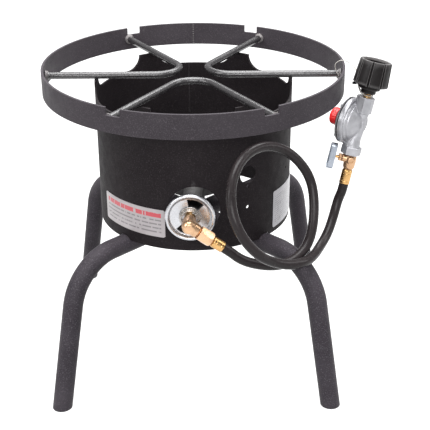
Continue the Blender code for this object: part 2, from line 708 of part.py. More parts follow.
def cylinder_connection():
    """The nipple, its seal and the hand nut that screws on the gas cylinder's valve."""
    nipple = turned("inlet_nipple", [
        (0.0, 0.1750), (0.0030, 0.1748), (0.0058, 0.1725), (0.0068, 0.1690), (0.0068, 0.1600),
        (0.0115, 0.1590), (0.0115, 0.1560), (0.0055, 0.1550), (0.0055, 0.1225), (0.0, 0.1225),
    ], 24)
    place(nipple, "brass", REGULATOR)
    seal = turned("nipple_seal", tube_profile(0.0088, 0.0071, 0.1603, 0.1628), 24)
    place(seal, "rubber", REGULATOR)
    nut = turned("tank_nut", [
        (0.0215, NUT_MOUTH), (0.0238, NUT_SKIRT + 0.006), (0.0245, NUT_SKIRT), (0.0140, NUT_SKIRT),
        (0.0140, 0.139), (0.0098, 0.139), (0.0098, NUT_BACK), (0.0060, NUT_BACK), (0.0060, 0.1545),
        (NUT_BORE, 0.1545), (NUT_BORE, NUT_MOUTH),
    ], 32)
    half_width = 0.0013
    depth = 0.0025
    low = NUT_SKIRT - 0.002
    high = NUT_MOUTH + 0.002
    skirt_lean = -0.088
    lean = Matrix.Translation((0.0225, 0.0, NUT_SKIRT)) @ Matrix.Rotation(skirt_lean, 4, "Y")
    back = Matrix.Translation((0.0, 0.0, -NUT_SKIRT))
    for number in range(NUT_LOBES):
        groove = block(f"nut_groove_{number}", (0.0, -half_width, low), (depth, half_width, high))
        spin = Matrix.Rotation(FULL_TURN * (number + NUT_TURN) / NUT_LOBES, 4, "Z")
        combine(nut, groove, "DIFFERENCE", REGULATOR.matrix_world @ spin @ lean @ back)
    place(nut, "black_plastic", REGULATOR)


def tie():
    """A plastic loop that hangs the regulator from the pot rod, over the ring band, and its toggle."""
    front = [
        (0.1955, -0.0085, 0.4095), (0.1912, -0.0082, 0.4177), (0.1905, -0.0090, 0.4265),
        (0.1963, -0.0120, 0.4320), (0.2040, -0.0200, 0.4333), (0.2103, -0.0320, 0.4315),
        (0.2140, -0.0390, 0.4260), (0.2146, -0.0410, 0.4175), (0.2148, -0.0437, 0.4136),
        (0.2158, -0.0474, 0.4110), (0.2168, -0.0540, 0.4064), (0.2187, -0.0617, 0.4032),
    ]
    round_nipple = [
        (0.2233, -0.0689, 0.4027), (0.2269, -0.0699, 0.4020), (0.2329, -0.0663, 0.4003),
        (0.2333, -0.0603, 0.3996), (0.2265, -0.0555, 0.4006), (0.2205, -0.0585, 0.4026),
    ]
    back = [
        (0.2180, -0.0510, 0.4065), (0.2162, -0.0445, 0.4118), (0.2158, -0.0395, 0.4145),
        (0.2165, -0.0365, 0.4175), (0.2165, -0.0310, 0.4235), (0.2120, -0.0200, 0.4280),
        (0.2056, -0.0080, 0.4296), (0.1980, 0.0000, 0.4284), (0.1925, 0.0040, 0.4228),
        (0.1925, 0.0045, 0.4160), (0.1955, 0.0045, 0.4095),
    ]
    under_rod = [(0.1955, 0.0028, 0.4052), (0.1955, -0.0020, 0.4040), (0.1955, -0.0068, 0.4052)]
    loop = front + round_nipple + back + under_rod
    place(wire("regulator_tie", loop, 0.0006, 1, closed=True), "white_plastic", STAND)
    toggle = block("tie_toggle", (-0.0028, -0.0015, -0.0008), (0.0028, 0.0015, 0.0008))
    toggle.location = (0.2116, -0.0460, 0.4122)
    place(toggle, "black_plastic", STAND)


def label(name, start, end, low, high):
    """A thin sticker that follows the windscreen's wall between two angles."""
    thickness = 0.0003
    radius = SCREEN_RADIUS + GAP
    count = max(6, int(abs(end - start) / 4))
    outer = arc((0.0, 0.0), radius + thickness, start, end, count)
    inner = arc((0.0, 0.0), radius, end, start, count)
    place(plate(name, outer + inner, low, high), "label_film", STAND)


clear_scene()
PARTS = collection("propane_burner_stand")
CUTTERS = collection("cutters")
make_materials()
intake_direction = Vector((math.sin(BURNER_YAW), -math.cos(BURNER_YAW), 0.0))
intake_frame = axis_frame((0.0, 0.0, INTAKE_HEIGHT), intake_direction, (1.0, 0.0, 0.0))
elbow_corner = intake_frame @ Vector((0.0, 0.0, ELBOW_CORNER))
regulator_axes = regulator_frame(REGULATOR_FOOT, REGULATOR_DIRECTION, BONNET_DIRECTION)
bonnet_centre = regulator_axes @ Vector((BONNET_OFFSET, 0.0, DIAPHRAGM_CENTRE))
valve_centre = regulator_axes @ Vector((0.0, 0.0, VALVE_CENTRE))
valve_direction = Vector((-REGULATOR_DIRECTION.z, 0.0, REGULATOR_DIRECTION.x))
STAND = empty("stand_axis", Matrix.Identity(4))
INTAKE = empty("intake_axis", intake_frame)
LOWER_FITTING = empty("lower_fitting_axis", axis_frame(elbow_corner, INLET_DIRECTION, (0.0, 1.0, 0.0)))
REGULATOR = empty("regulator_axis", regulator_axes)
BONNET = empty("bonnet_axis", regulator_frame(bonnet_centre, BONNET_DIRECTION, REGULATOR_DIRECTION))
VALVE_STEM = empty("valve_stem_axis", regulator_frame(valve_centre, valve_direction, REGULATOR_DIRECTION))
bpy.context.view_layer.update()

ring_band()
for rod_name, bisector_angle in ROD_BISECTORS.items():
    pot_rod(rod_name, bisector_angle)
windscreen()
legs()
burner()
air_intake()
lower_fitting()
hose()
regulator_line()
regulator()
cylinder_connection()
tie()
label("left_label", -153.0, -106.6, 0.2285, 0.2680)
label("right_label", -37.9, -4.0, 0.2190, 0.2725)
bpy.context.view_layer.update()
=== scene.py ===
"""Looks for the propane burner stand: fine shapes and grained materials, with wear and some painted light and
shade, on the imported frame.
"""

import json
import math

import bmesh
import bpy
from mathutils import Matrix, Vector, noise


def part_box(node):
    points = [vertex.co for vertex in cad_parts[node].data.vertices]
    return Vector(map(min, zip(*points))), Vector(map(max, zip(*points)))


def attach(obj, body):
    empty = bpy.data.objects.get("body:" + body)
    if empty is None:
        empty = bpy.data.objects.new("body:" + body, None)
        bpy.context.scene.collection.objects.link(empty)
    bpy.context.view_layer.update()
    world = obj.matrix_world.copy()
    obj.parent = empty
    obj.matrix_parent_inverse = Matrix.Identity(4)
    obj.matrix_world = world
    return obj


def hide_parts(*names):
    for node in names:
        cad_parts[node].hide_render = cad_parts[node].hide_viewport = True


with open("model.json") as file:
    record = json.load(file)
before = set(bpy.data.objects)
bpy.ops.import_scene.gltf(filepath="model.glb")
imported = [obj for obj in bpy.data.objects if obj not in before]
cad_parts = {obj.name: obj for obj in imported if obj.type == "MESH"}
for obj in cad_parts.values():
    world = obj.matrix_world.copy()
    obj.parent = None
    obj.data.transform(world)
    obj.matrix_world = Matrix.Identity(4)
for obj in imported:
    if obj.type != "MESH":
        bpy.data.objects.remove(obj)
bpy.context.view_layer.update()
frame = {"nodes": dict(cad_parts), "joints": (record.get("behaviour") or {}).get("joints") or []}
JOINTS = {joint["name"]: joint for joint in frame["joints"]}
FULL_TURN = 2.0 * math.pi
UP = Vector((0.0, 0.0, 1.0))
noise.seed_set(1)  # the weld beads come out the same each run

# The camera, solved from the photograph: in front of the part, looking down 26 degrees (angles in radians)
CAMERA_PLACE = (0.01534, -1.31053, 0.8329)
CAMERA_DOWN = 0.450344
CAMERA_YAW = -0.009837
CAMERA_ROLL = -0.004767
CAMERA_LENS = 84.5

# Sizes that the CAD boxes don't give on their own
RING_WALL = 0.0032
NOTCH_WIDTH = 0.0206
NOTCH_DEPTH = 0.01
NOTCH_ANGLES = (65, 117, 242, 298)
ROD_BEND = 0.032
ROD_SIDE_SHIFT = 0.002
ROD_BISECTORS = {"pot_rod_right": 30, "pot_rod_left": 150, "pot_rod_front": 270}
SCREEN_WALL = 0.0025
SCALLOP_DEPTH = 0.0195
TAB_COUNT = 6
TAB_HALF_ANGLE = 6.7
INTAKE_HOLE_RADIUS = 0.034
LIGHTING_ANGLE = -58.2
SCREEN_HOLES = (
    (LIGHTING_ANGLE, 0.312, 0.012), (LIGHTING_ANGLE, 0.2954, 0.0025), (LIGHTING_ANGLE, 0.2654, 0.0025),
    (-22.2, 0.295, 0.0018),
)
LEG_RADIUS = 0.01325
LEG_WALL = 0.002
LEG_HEIGHT = 0.2036
LEG_BEND = 0.072
LEG_SPLAY = math.radians(11.6)
FOOT_REACH = 0.258
LEG_ANGLES = {"leg_back_right": 45, "leg_back_left": 135, "leg_front_left": 225, "leg_front_right": 315}
WEB_FRONT = 0.1495
SHUTTER_BACK = 0.15
WINDOW_INNER = 0.0135
WINDOW_OUTER = 0.0245
WINDOW_SPAN = 56
WINDOW_ANGLES = (71, 251)
ELBOW_BACK = 0.1615
ELBOW_CORNER = 0.178
REGULATOR_SCALE = 0.945
NUT_LOBES = 8
NUT_TURN = 0.38
BOLT_HEAD = 0.0045
TANK_NUT_MOUTH = 0.179
TANK_NUT_BACK = 0.145

# The regulator's dome as (radius, height), from its rim to its middle
DOME = (
    (0.033, -0.0004), (0.0324, 0.0022), (0.0308, 0.0024), (0.03, 0.001), (0.029, 0.0034), (0.0276, 0.0052),
    (0.0268, 0.005), (0.0258, 0.0074), (0.02, 0.0126), (0.011, 0.0172), (0.0, 0.0188),
)

# The hose's route, as the CAD solid follows it
INLET_DIRECTION = Vector((0.812, 0.0, -0.583)).normalized()
HOSE_RADIUS = 0.0065
FERRULE_END = 0.052
FACE_GAP = 0.0003
HOSE_LEADS = (0.0, 0.006, 0.014)
HOSE_START = (
    (0.0603, -0.178, 0.2202), (0.0854, -0.1715, 0.2093), (0.112, -0.1621, 0.2033), (0.1357, -0.1512, 0.209),
    (0.1567, -0.1271, 0.2269),
)
LOOP_CENTRE = Vector((0.104, -0.1479, 0.2863))
LOOP_NORMAL = Vector((0.62, -0.638, 0.456))
LOOP_RADIUS = 0.0763
LOOP_START = -3.4
LOOP_STEP = 25.36
LOOP_COUNT = 10
HOSE_END = (
    (0.0988, -0.1887, 0.2235), (0.1206, -0.1803, 0.2137), (0.1351, -0.1737, 0.2133), (0.1516, -0.1578, 0.2101),
    (0.1657, -0.1253, 0.2115), (0.1783, -0.1061, 0.2214), (0.1881, -0.0849, 0.2398), (0.1936, -0.0774, 0.2596),
)

# The studio: (name, place, size, watts) of each soft light
LIGHT_AIM = Vector((0.0, 0.0, 0.3))
SOFT_LIGHTS = (
    ("top_light", (0.0, -0.2, 2.0), (1.2, 1.0), 30.0),
    ("front_light", (0.0, -2.3, 1.3), (1.8, 0.8), 36.0),
    ("left_light", (-1.4, -0.9, 1.2), (0.4, 1.2), 13.0),
    ("right_light", (1.5, -0.1, 1.3), (0.4, 1.2), 9.0),
    ("back_light", (0.3, 1.0, 1.8), (1.6, 0.8), 34.0),
)
SKY_STRENGTH = 0.52
BELOW_STRENGTH = 0.04
FLOOR_GLOW = 0.8


# ---- placements


def axis_frame(origin, along, side):
    """A placement whose Z is along and whose X is side, made square to it."""
    z = Vector(along).normalized()
    x = (Vector(side) - z * z.dot(Vector(side))).normalized()
    return Matrix.Translation(origin) @ Matrix((x, z.cross(x), z)).transposed().to_4x4()


def joint_frame(name, side):
    return axis_frame(JOINTS[name]["pos_m"], JOINTS[name]["axis"], side)


def regulator_frame(name, side):
    """A joint's placement in the regulator's own units."""
    return joint_frame(name, side) @ Matrix.Scale(REGULATOR_SCALE, 4)


def radial_frame(degrees, height):
    """A placement at the ring's axis whose Z points outward at an angle."""
    return axis_frame((0.0, 0.0, height), (*polar(1.0, math.radians(degrees)), 0.0), UP)


def turn_z(degrees):
    return Matrix.Rotation(math.radians(degrees), 4, "Z")


INTAKE = joint_frame("air_shutter_turn", (1.0, 0.0, 0.0))
LOWER_FITTING = axis_frame(INTAKE @ Vector((0.0, 0.0, ELBOW_CORNER)), INLET_DIRECTION, (0.0, 1.0, 0.0))
REGULATOR = regulator_frame("tank_nut_spin", JOINTS["regulator_knob_turn"]["axis"])
BONNET = regulator_frame("regulator_knob_turn", JOINTS["tank_nut_spin"]["axis"])
VALVE_STEM = regulator_frame("valve_handle_turn", JOINTS["tank_nut_spin"]["axis"])


# ---- mesh making


def add(name, data):
    """A scene object that shows some data."""
    thing = bpy.data.objects.new(name, data)
    bpy.context.scene.collection.objects.link(thing)
    return thing


def make(name, work, placement=None):
    """A scene object from a bmesh, with its place in the mesh."""
    bmesh.ops.remove_doubles(work, verts=work.verts, dist=0.000002)
    bmesh.ops.recalc_face_normals(work, faces=work.faces)
    if placement is not None:
        bmesh.ops.transform(work, matrix=placement, verts=work.verts)
    mesh = bpy.data.meshes.new(name)
    work.to_mesh(mesh)
    work.free()
    return smooth(add(name, mesh))


def smooth(piece, degrees=38):
    piece.data.shade_smooth()
    piece.data.set_sharp_from_angle(angle=math.radians(degrees))
    return piece


def skin(work, rings, closed=False):
    """Quads between consecutive rings of vertices, and from the last to the first if closed."""
    pairs = list(zip(rings, rings[1:]))
    if closed:
        pairs.append((rings[-1], rings[0]))
    for low, high in pairs:
        for i in range(len(low)):
            j = (i + 1) % len(low)
            corners = list(dict.fromkeys((low[i], low[j], high[j], high[i])))
            if len(corners) > 2:
                work.faces.new(corners)


def capped(name, work, rings, placement):
    """A solid through rings of vertices, with a face at each end."""
    skin(work, rings)
    work.faces.new(rings[0])
    work.faces.new(rings[-1])
    return make(name, work, placement)


def polar(radius, angle):
    return radius * math.cos(angle), radius * math.sin(angle)


def circuit(work, steps, place):
    """Vertices all round a circle, each at place(cosine, sine)."""
    return [work.verts.new(place(*polar(1.0, FULL_TURN * step / steps))) for step in range(steps)]


def lathe(name, profile, placement, steps, shape=None):
    """A turned solid from (radius, height) points; shape(angle, radius, height) can change the radius."""
    work = bmesh.new()
    rings = []
    for radius, height in profile:
        if radius == 0.0:
            rings.append([work.verts.new((0.0, 0.0, height))] * steps)
            continue
        ring = []
        for step in range(steps):
            angle = FULL_TURN * step / steps
            size = shape(angle, radius, height) if shape else radius
            ring.append(work.verts.new((*polar(size, angle), height)))
        rings.append(ring)
    on_axis = profile[0][0] == 0.0 and profile[-1][0] == 0.0
    skin(work, rings, not on_axis)
    return make(name, work, placement)


def rounded(profile, radius):
    """A profile with each corner off the axis replaced by a short curve."""
    count = len(profile)
    steps = 3
    result = []
    for i, corner in enumerate(profile):
        if corner[0] == 0.0:
            result.append(corner)
            continue
        here = Vector(corner)
        before = Vector(profile[i - 1]) - here
        after = Vector(profile[(i + 1) % count]) - here
        size = min(radius, before.length * 0.45, after.length * 0.45)
        start = here + before.normalized() * size
        end = here + after.normalized() * size
        for step in range(steps + 1):
            t = step / steps
            point = start * (1 - t) ** 2 + here * (2 * t * (1 - t)) + end * t**2
            result.append((max(point.x, 0.00001), point.y))
    return result


def mm(points, base=0.0):
    """A profile given in millimetres, its heights counted from a base in metres."""
    return [(x / 1000, base + y / 1000) for x, y in points]


def turned(name, points, corner, placement, steps, shape=None, base=0.0):
    """A turned solid with rounded corners, its profile and its corners' radius in millimetres."""
    return lathe(name, rounded(mm(points, base), corner / 1000), placement, steps, shape)


def sweep(name, points, radius, sides, closed=False, placement=None):
    """A round tube along points, with frames carried along so that it doesn't twist."""
    points = [Vector(point) for point in points]
    count = len(points)
    work = bmesh.new()
    side = None
    rings = []
    for i, point in enumerate(points):
        before = points[i - 1] if i or closed else point
        after = points[(i + 1) % count] if i < count - 1 or closed else point
        along = (after - before).normalized()
        if side is None:
            side = along.orthogonal().normalized()
        side = (side - along * side.dot(along)).normalized()
        other = along.cross(side)
        rings.append(circuit(work, sides, lambda c, s: point + (side * c + other * s) * radius))
    if not closed:
        return capped(name, work, rings, placement)
    skin(work, rings, True)
    return make(name, work, placement)


def slab(name, outline, low, high, placement=None):
    """A flat outline in XY, thickened between two heights."""
    work = bmesh.new()
    rings = [[work.verts.new((x, y, z)) for x, y in outline] for z in (low, high)]
    return capped(name, work, rings, placement)


def arc(centre, radius, start, end, count):
    """Points round an arc in a plane, angles in degrees."""
    points = []
    for step in range(count + 1):
        x, y = polar(radius, math.radians(start + (end - start) * step / count))
        points.append((centre[0] + x, centre[1] + y))
    return points


def circle(radius, count):
    return arc((0.0, 0.0), radius, 0, 360, count)[:-1]


def rectangle(left, right, bottom, top):
    return [(left, bottom), (right, bottom), (right, top), (left, top)]


def between(start, end, count):
    """Evenly spaced points from a start up to an end, without the end."""
    return [tuple(a + (b - a) * step / count for a, b in zip(start, end)) for step in range(count)]


def wall(outer, inner, low, high, rows):
    """A band's closed profile, in rows close enough that wear stays at its edges."""
    profile = between((outer, high), (outer, low), rows) + [(outer, low)]
    return profile + between((inner, low), (inner, high), rows) + [(inner, high)]


def polygon(sides, across):
    """A regular polygon given its size across flats, with a flat towards +X."""
    radius = across / 2 / math.cos(math.pi / sides)
    half = 180 / sides
    return arc((0.0, 0.0), radius, half, 360 + half, sides)[:-1]


def rounded_box(half_x, half_y, radius, count):
    """A rectangle's outline with round corners."""
    points = []
    for sign_x, sign_y, start in ((1, 1, 0), (-1, 1, 90), (-1, -1, 180), (1, -1, 270)):
        centre = (sign_x * (half_x - radius), sign_y * (half_y - radius))
        points += arc(centre, radius, start, start + 90, count)
    return points


def sector(inner, outer, middle, span):
    """The outline of a ring sector."""
    start, end = middle - span / 2, middle + span / 2
    return arc((0.0, 0.0), outer, start, end, 16) + arc((0.0, 0.0), inner, end, start, 16)


def loft(name, sections, placement):
    """A solid through (height, centre x, half x, half y, squareness) sections, the sizes in millimetres."""
    work = bmesh.new()
    rings = []
    for *sizes, power in sections:
        height, centre, half_x, half_y = (size / 1000 for size in sizes)

        def corner(c, s):
            x = math.copysign(abs(c) ** power, c) * half_x + centre
            return x, math.copysign(abs(s) ** power, s) * half_y, height

        rings.append(circuit(work, 48, corner))
    return capped(name, work, rings, placement)


# ---- mesh changes


def bake(piece):
    """Applies a piece's modifiers to its mesh."""
    graph = bpy.context.evaluated_depsgraph_get()
    mesh = bpy.data.meshes.new_from_object(piece.evaluated_get(graph))
    piece.modifiers.clear()
    piece.data = mesh
    return smooth(piece)


def boolean(piece, others, operation="DIFFERENCE"):
    """Cuts or joins solids into a piece, and removes them."""
    for other in others:
        change = piece.modifiers.new("cut", "BOOLEAN")
        change.operation = operation
        change.object = other
        change.solver = "EXACT"
    bake(piece)
    for other in others:
        bpy.data.objects.remove(other)
    return piece


def edges(piece, width, segments=2, degrees=40):
    """Rounds a piece's sharp edges."""
    bevel = piece.modifiers.new("edges", "BEVEL")
    bevel.width = width
    bevel.segments = segments
    bevel.limit_method = "ANGLE"
    bevel.angle_limit = math.radians(degrees)
    bevel.use_clamp_overlap = True
    return bake(piece)


def cast(piece, voxel, passes):
    """Melts a piece's joins together, as a casting's fillets are."""
    remesh = piece.modifiers.new("remesh", "REMESH")
    remesh.mode = "VOXEL"
    remesh.voxel_size = voxel
    soften = piece.modifiers.new("soften", "SMOOTH")
    soften.factor = 0.5
    soften.iterations = passes
    bake(piece)
    return smooth(piece, 60)


def join(piece, others):
    """Adds other meshes to a piece's mesh without cutting them."""
    work = bmesh.new()
    work.from_mesh(piece.data)
    for other in others:
        work.from_mesh(other.data)
        bpy.data.objects.remove(other)
    work.to_mesh(piece.data)
    work.free()
    return smooth(piece)


def roughen(piece, size, amount):
    """Moves vertices a little, along a steady noise field."""
    for vertex in piece.data.vertices:
        vertex.co += noise.noise_vector(vertex.co * size) * amount
    piece.data.update()
    return piece


def dress(piece, look, *nodes, body="stand"):
    """Gives a piece the material of its look, and puts it on a CAD body in place of the named nodes."""
    slot, material = look
    piece.data.materials.clear()
    piece.data.materials.append(material)
    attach(piece, body)
    if nodes:
        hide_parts(*nodes)
    return piece


# ---- materials


def scaled(colour, factor, lift=0.0, most=1.0):
    """A colour made darker or lighter, up to a limit."""
    return tuple(min(channel * factor + lift, most) for channel in colour)


class Shader:
    """A small helper that wires one procedural material; its look is a slot's name with the material."""

    def __init__(self, slot, name):
        self.slot = slot
        self.material = bpy.data.materials.new(name)
        self.material.use_nodes = True
        self.nodes = self.material.node_tree.nodes
        self.links = self.material.node_tree.links
        self.surface = self.nodes["Principled BSDF"]
        self.coordinates = self.nodes.new("ShaderNodeTexCoord").outputs["Object"]

    def put(self, socket, value):
        """Links or sets a socket; a colour is given without its alpha."""
        if isinstance(value, bpy.types.NodeSocket):
            self.links.new(value, socket)
        elif value is not None:
            socket.default_value = (*value, 1.0) if socket.type == "RGBA" else value

    def node(self, kind, **inputs):
        made = self.nodes.new(kind)
        for key, value in inputs.items():
            self.put(made.inputs[key.replace("_", " ")], value)
        return made

    def noise(self, scale, detail=3.0, vector=None):
        vector = vector or self.coordinates
        made = self.node("ShaderNodeTexNoise", Vector=vector, Scale=scale, Detail=detail, Roughness=0.55)
        return made.outputs["Fac"]

    def range(self, value, low, high, start=0.0, end=1.0):
        """A value from low to high, spread from start to end."""
        kind = "ShaderNodeMapRange"
        made = self.node(kind, Value=value, From_Min=low, From_Max=high, To_Min=start, To_Max=end)
        return made.outputs["Result"]

    def patches(self, scale, detail, low, high, start=0.0, end=1.0):
        return self.range(self.noise(scale, detail), low, high, start, end)

    def math(self, operation, first, second=None):
        made = self.nodes.new("ShaderNodeMath")
        made.operation = operation
        self.put(made.inputs[0], first)
        self.put(made.inputs[1], second)
        return made.outputs["Value"]

    def times(self, first, second):
        return self.math("MULTIPLY", first, second)

    def band(self, value, low, high):
        """1 between two limits, 0 elsewhere."""
        return self.times(self.math("GREATER_THAN", value, low), self.math("LESS_THAN", value, high))

    def mix(self, factor, first, second):
        made = self.nodes.new("ShaderNodeMix")
        made.data_type = "RGBA"
        sockets = {socket.identifier: socket for socket in (*made.inputs, *made.outputs)}
        for name, value in (("Factor_Float", factor), ("A_Color", first), ("B_Color", second)):
            self.put(sockets[name], value)
        return sockets["Result_Color"]

    def edge(self, start=0.52, end=0.62):
        """1 on sharp outer edges, 0 elsewhere; with a start above the end, 1 in hollows."""
        pointed = self.nodes.new("ShaderNodeNewGeometry").outputs["Pointiness"]
        return self.range(pointed, start, end)

    def bump(self, height, strength, distance, before=None):
        made = self.node("ShaderNodeBump", Height=height, Strength=strength, Distance=distance, Normal=before)
        return made.outputs["Normal"]

    def finish(self, colour, roughness, metallic=0.0, normal=None, **others):
        values = {"Base_Color": colour, "Roughness": roughness, "Metallic": metallic, "Normal": normal}
        for key, value in (values | others).items():
            self.put(self.surface.inputs[key.replace("_", " ")], value)
        return self.slot, self.material


def powder_coat(part, dark, light, grain, gloss, sheen):
    """Baked black powder: a fine orange peel, faint clouds, dust in the open and rubbed edges."""
    shader = Shader("black_powder_coat", "black_powder_coat_" + part)
    speckle = shader.noise(grain, 2.0)
    colour = shader.mix(shader.patches(14.0, 4.0, 0.35, 0.7), dark, light)
    colour = shader.mix(shader.range(speckle, 0.54, 0.72, 0.0, 0.8), colour, scaled(light, 1.7, 0.01))
    rubbed = shader.times(shader.edge(), shader.patches(70.0, 5.0, 0.45, 0.7, 0.0, 0.5))
    colour = shader.mix(rubbed, colour, (0.095, 0.088, 0.092))
    roughness = shader.patches(90.0, 3.0, 0.3, 0.7, gloss - 0.05, gloss + 0.08)
    peel = shader.bump(shader.noise(420.0), 0.22, 0.0006)
    normal = shader.bump(speckle, 0.45, 0.0004, peel)
    return shader.finish(colour, roughness, 0.0, normal, Specular_IOR_Level=sheen)


def bare_metal(slot, name, colour, tint, roughness, grain, depth, spots=0.25):
    """Bare or plated metal with tarnish, fine scratches and a grain."""
    shader = Shader(slot, name)
    base = shader.mix(shader.patches(55.0, 4.0, 0.35, 0.72), colour, tint)
    base = shader.mix(shader.patches(180.0, 5.0, 0.58, 0.74, 0.0, spots), base, scaled(tint, 0.55))
    base = shader.mix(shader.times(shader.edge(), 0.6), base, scaled(colour, 1.25, most=0.95))
    scratches = shader.noise(grain)
    finish = shader.range(scratches, 0.3, 0.7, roughness - 0.06, roughness + 0.1)
    return shader.finish(base, finish, 1.0, shader.bump(scratches, depth, 0.0003))


def die_cast_metal(name, colour, light):
    """Matte zinc casting, with a painted highlight on its ribs and painted shade in its hollows."""
    shader = Shader("die_cast", name)
    base = shader.mix(shader.patches(90.0, 4.0, 0.35, 0.7), colour, light)
    base = shader.mix(shader.patches(420.0, 4.0, 0.58, 0.75, 0.0, 0.35), base, scaled(colour, 0.62))
    # painted highlight: ribs and sharp edges lightened
    base = shader.mix(shader.edge(0.51, 0.58), base, scaled(light, 1.35, most=0.85))
    # painted shade: hollows darkened, as ambient occlusion would darken them
    base = shader.mix(shader.edge(0.495, 0.42), base, scaled(colour, 0.45))
    roughness = shader.patches(300.0, 3.0, 0.3, 0.7, 0.32, 0.46)
    return shader.finish(base, roughness, 0.65, shader.bump(shader.noise(700.0), 0.35, 0.0004))


def cast_iron_skin():
    """Sand-cast grey metal with a light oxide bloom."""
    shader = Shader("cast_iron", "sand_cast_skin")
    base = shader.mix(shader.patches(45.0, 5.0, 0.35, 0.7), (0.045, 0.043, 0.043), (0.085, 0.082, 0.082))
    base = shader.mix(shader.patches(150.0, 4.0, 0.6, 0.76, 0.0, 0.4), base, (0.075, 0.052, 0.042))
    cells = shader.node("ShaderNodeTexVoronoi", Vector=shader.coordinates, Scale=520.0)
    grains = shader.bump(cells.outputs["Distance"], 0.45, 0.0007)
    normal = shader.bump(shader.noise(160.0, 5.0), 0.35, 0.0012, grains)
    return shader.finish(base, shader.patches(260.0, 3.0, 0.3, 0.7, 0.55, 0.78), 0.35, normal)


def hose_rubber():
    """Extruded black rubber: brownish, softly shining, with a faint ripple and handling marks."""
    shader = Shader("rubber", "hose_rubber")
    dark, light = (0.016, 0.013, 0.0138), (0.027, 0.0225, 0.0235)
    base = shader.mix(shader.patches(22.0, 4.0, 0.35, 0.7), dark, light)
    base = shader.mix(shader.patches(330.0, 5.0, 0.6, 0.8, 0.0, 0.4), base, (0.045, 0.037, 0.038))
    roughness = shader.patches(120.0, 4.0, 0.3, 0.7, 0.2, 0.3)
    ripple = shader.bump(shader.noise(600.0), 0.16, 0.0004)
    normal = shader.bump(shader.noise(75.0, 2.0), 0.12, 0.001, ripple)
    return shader.finish(base, roughness, 0.0, normal, Specular_IOR_Level=0.16)


def moulded_plastic(slot, name, colour, roughness, marks, scuff_and_highlight=None, sheen=0.5):
    """Injection-moulded plastic with a fine texture, scuffs, and a painted highlight along its edges."""
    shader = Shader(slot, name)
    pale = scuff_and_highlight or scaled(colour, 1.6, 0.03, 0.9)
    base = shader.mix(shader.patches(60.0, 4.0, 0.35, 0.7), colour, scaled(colour, 0.78))
    base = shader.mix(shader.patches(340.0, 5.0, 0.62, 0.8, 0.0, marks), base, pale)
    # painted highlight: sharp edges lightened to the pale colour
    base = shader.mix(shader.times(shader.edge(), 0.7), base, pale)
    finish = shader.patches(200.0, 3.0, 0.3, 0.7, roughness - 0.06, roughness + 0.08)
    normal = shader.bump(shader.noise(900.0, 2.0), 0.18, 0.0003)
    return shader.finish(base, finish, 0.0, normal, Specular_IOR_Level=sheen)


def label_film(name, paper, heading, rows, heading_share):
    """A blank generic sticker: a coloured heading bar over rows of plain dashes, on a pale film."""
    shader = Shader("label_film", name)
    parts = shader.node("ShaderNodeSeparateXYZ", Vector=shader.nodes.new("ShaderNodeTexCoord").outputs["UV"])
    across, height = parts.outputs["X"], parts.outputs["Y"]
    base = shader.mix(shader.patches(70.0, 4.0, 0.35, 0.7), paper, scaled(paper, 0.86))
    row = shader.times(shader.math("FLOOR", shader.times(height, rows)), 7.3)
    spread = shader.node("ShaderNodeCombineXYZ", X=shader.times(across, 26.0), Y=row).outputs["Vector"]
    dashes = shader.math("GREATER_THAN", shader.noise(1.0, 1.0, spread), 0.42)
    printed = shader.times(shader.band(across, 0.05, 0.95), dashes)
    wave = shader.math("SINE", shader.times(height, FULL_TURN * rows))
    text_top = 0.9 - heading_share
    lines = shader.times(shader.range(wave, 0.2, 0.5), printed)
    lines = shader.times(lines, shader.band(height, 0.08, text_top))
    base = shader.mix(shader.times(lines, 0.62), base, (0.1, 0.09, 0.1))
    if heading is not None:
        bar = shader.times(shader.band(height, text_top + 0.03, 0.87), printed)
        base = shader.mix(shader.times(bar, 0.9), base, heading)
    crease = shader.bump(shader.noise(120.0, 4.0), 0.12, 0.0004)
    roughness = shader.patches(160.0, 3.0, 0.3, 0.7, 0.26, 0.42)
    return shader.finish(base, roughness, 0.0, crease, Coat_Weight=0.3, Coat_Roughness=0.2)


BLACK_COAT = powder_coat("band", (0.042, 0.0365, 0.042), (0.057, 0.05, 0.057), 800.0, 0.5, 0.1)
# Painted shade: the windscreen's coat is the band's black powder coat made darker, standing in for the shade
# under the ring band.
SHADED_SCREEN_COAT = powder_coat("sheet", (0.0095, 0.0072, 0.0084), (0.0145, 0.0115, 0.013), 700.0, 0.62, 0.12)
LEG_COAT = powder_coat("tube", (0.03, 0.026, 0.0315), (0.058, 0.0505, 0.0595), 650.0, 0.5, 0.12)
ROD_COAT = powder_coat("rod", (0.02, 0.0185, 0.02), (0.03, 0.028, 0.03), 1000.0, 0.24, 0.8)
WELD_COAT = powder_coat("weld", (0.09, 0.082, 0.084), (0.2, 0.185, 0.185), 700.0, 0.42, 0.4)
CAST_IRON = cast_iron_skin()
ZINC = bare_metal("zinc", "zinc_plate", (0.54, 0.545, 0.57), (0.46, 0.465, 0.485), 0.28, 380.0, 0.1, 0.05)
ZINC_HANDLE = bare_metal("zinc", "zinc_handle", (0.36, 0.39, 0.44), (0.25, 0.28, 0.33), 0.3, 420.0, 0.25)
STEEL = bare_metal("spring_steel", "spring_wire", (0.5, 0.49, 0.48), (0.34, 0.32, 0.3), 0.24, 500.0, 0.1)
BRASS_CAST = bare_metal("brass", "brass_satin", (0.62, 0.4, 0.245), (0.44, 0.27, 0.155), 0.3, 450.0, 0.3)
BRASS_BRIGHT = bare_metal(
    "brass", "brass_bright", (0.6, 0.365, 0.15), (0.52, 0.31, 0.12), 0.24, 300.0, 0.08, 0.04
)
DIE_CAST = die_cast_metal("die_cast_skin", (0.33, 0.33, 0.35), (0.43, 0.43, 0.455))
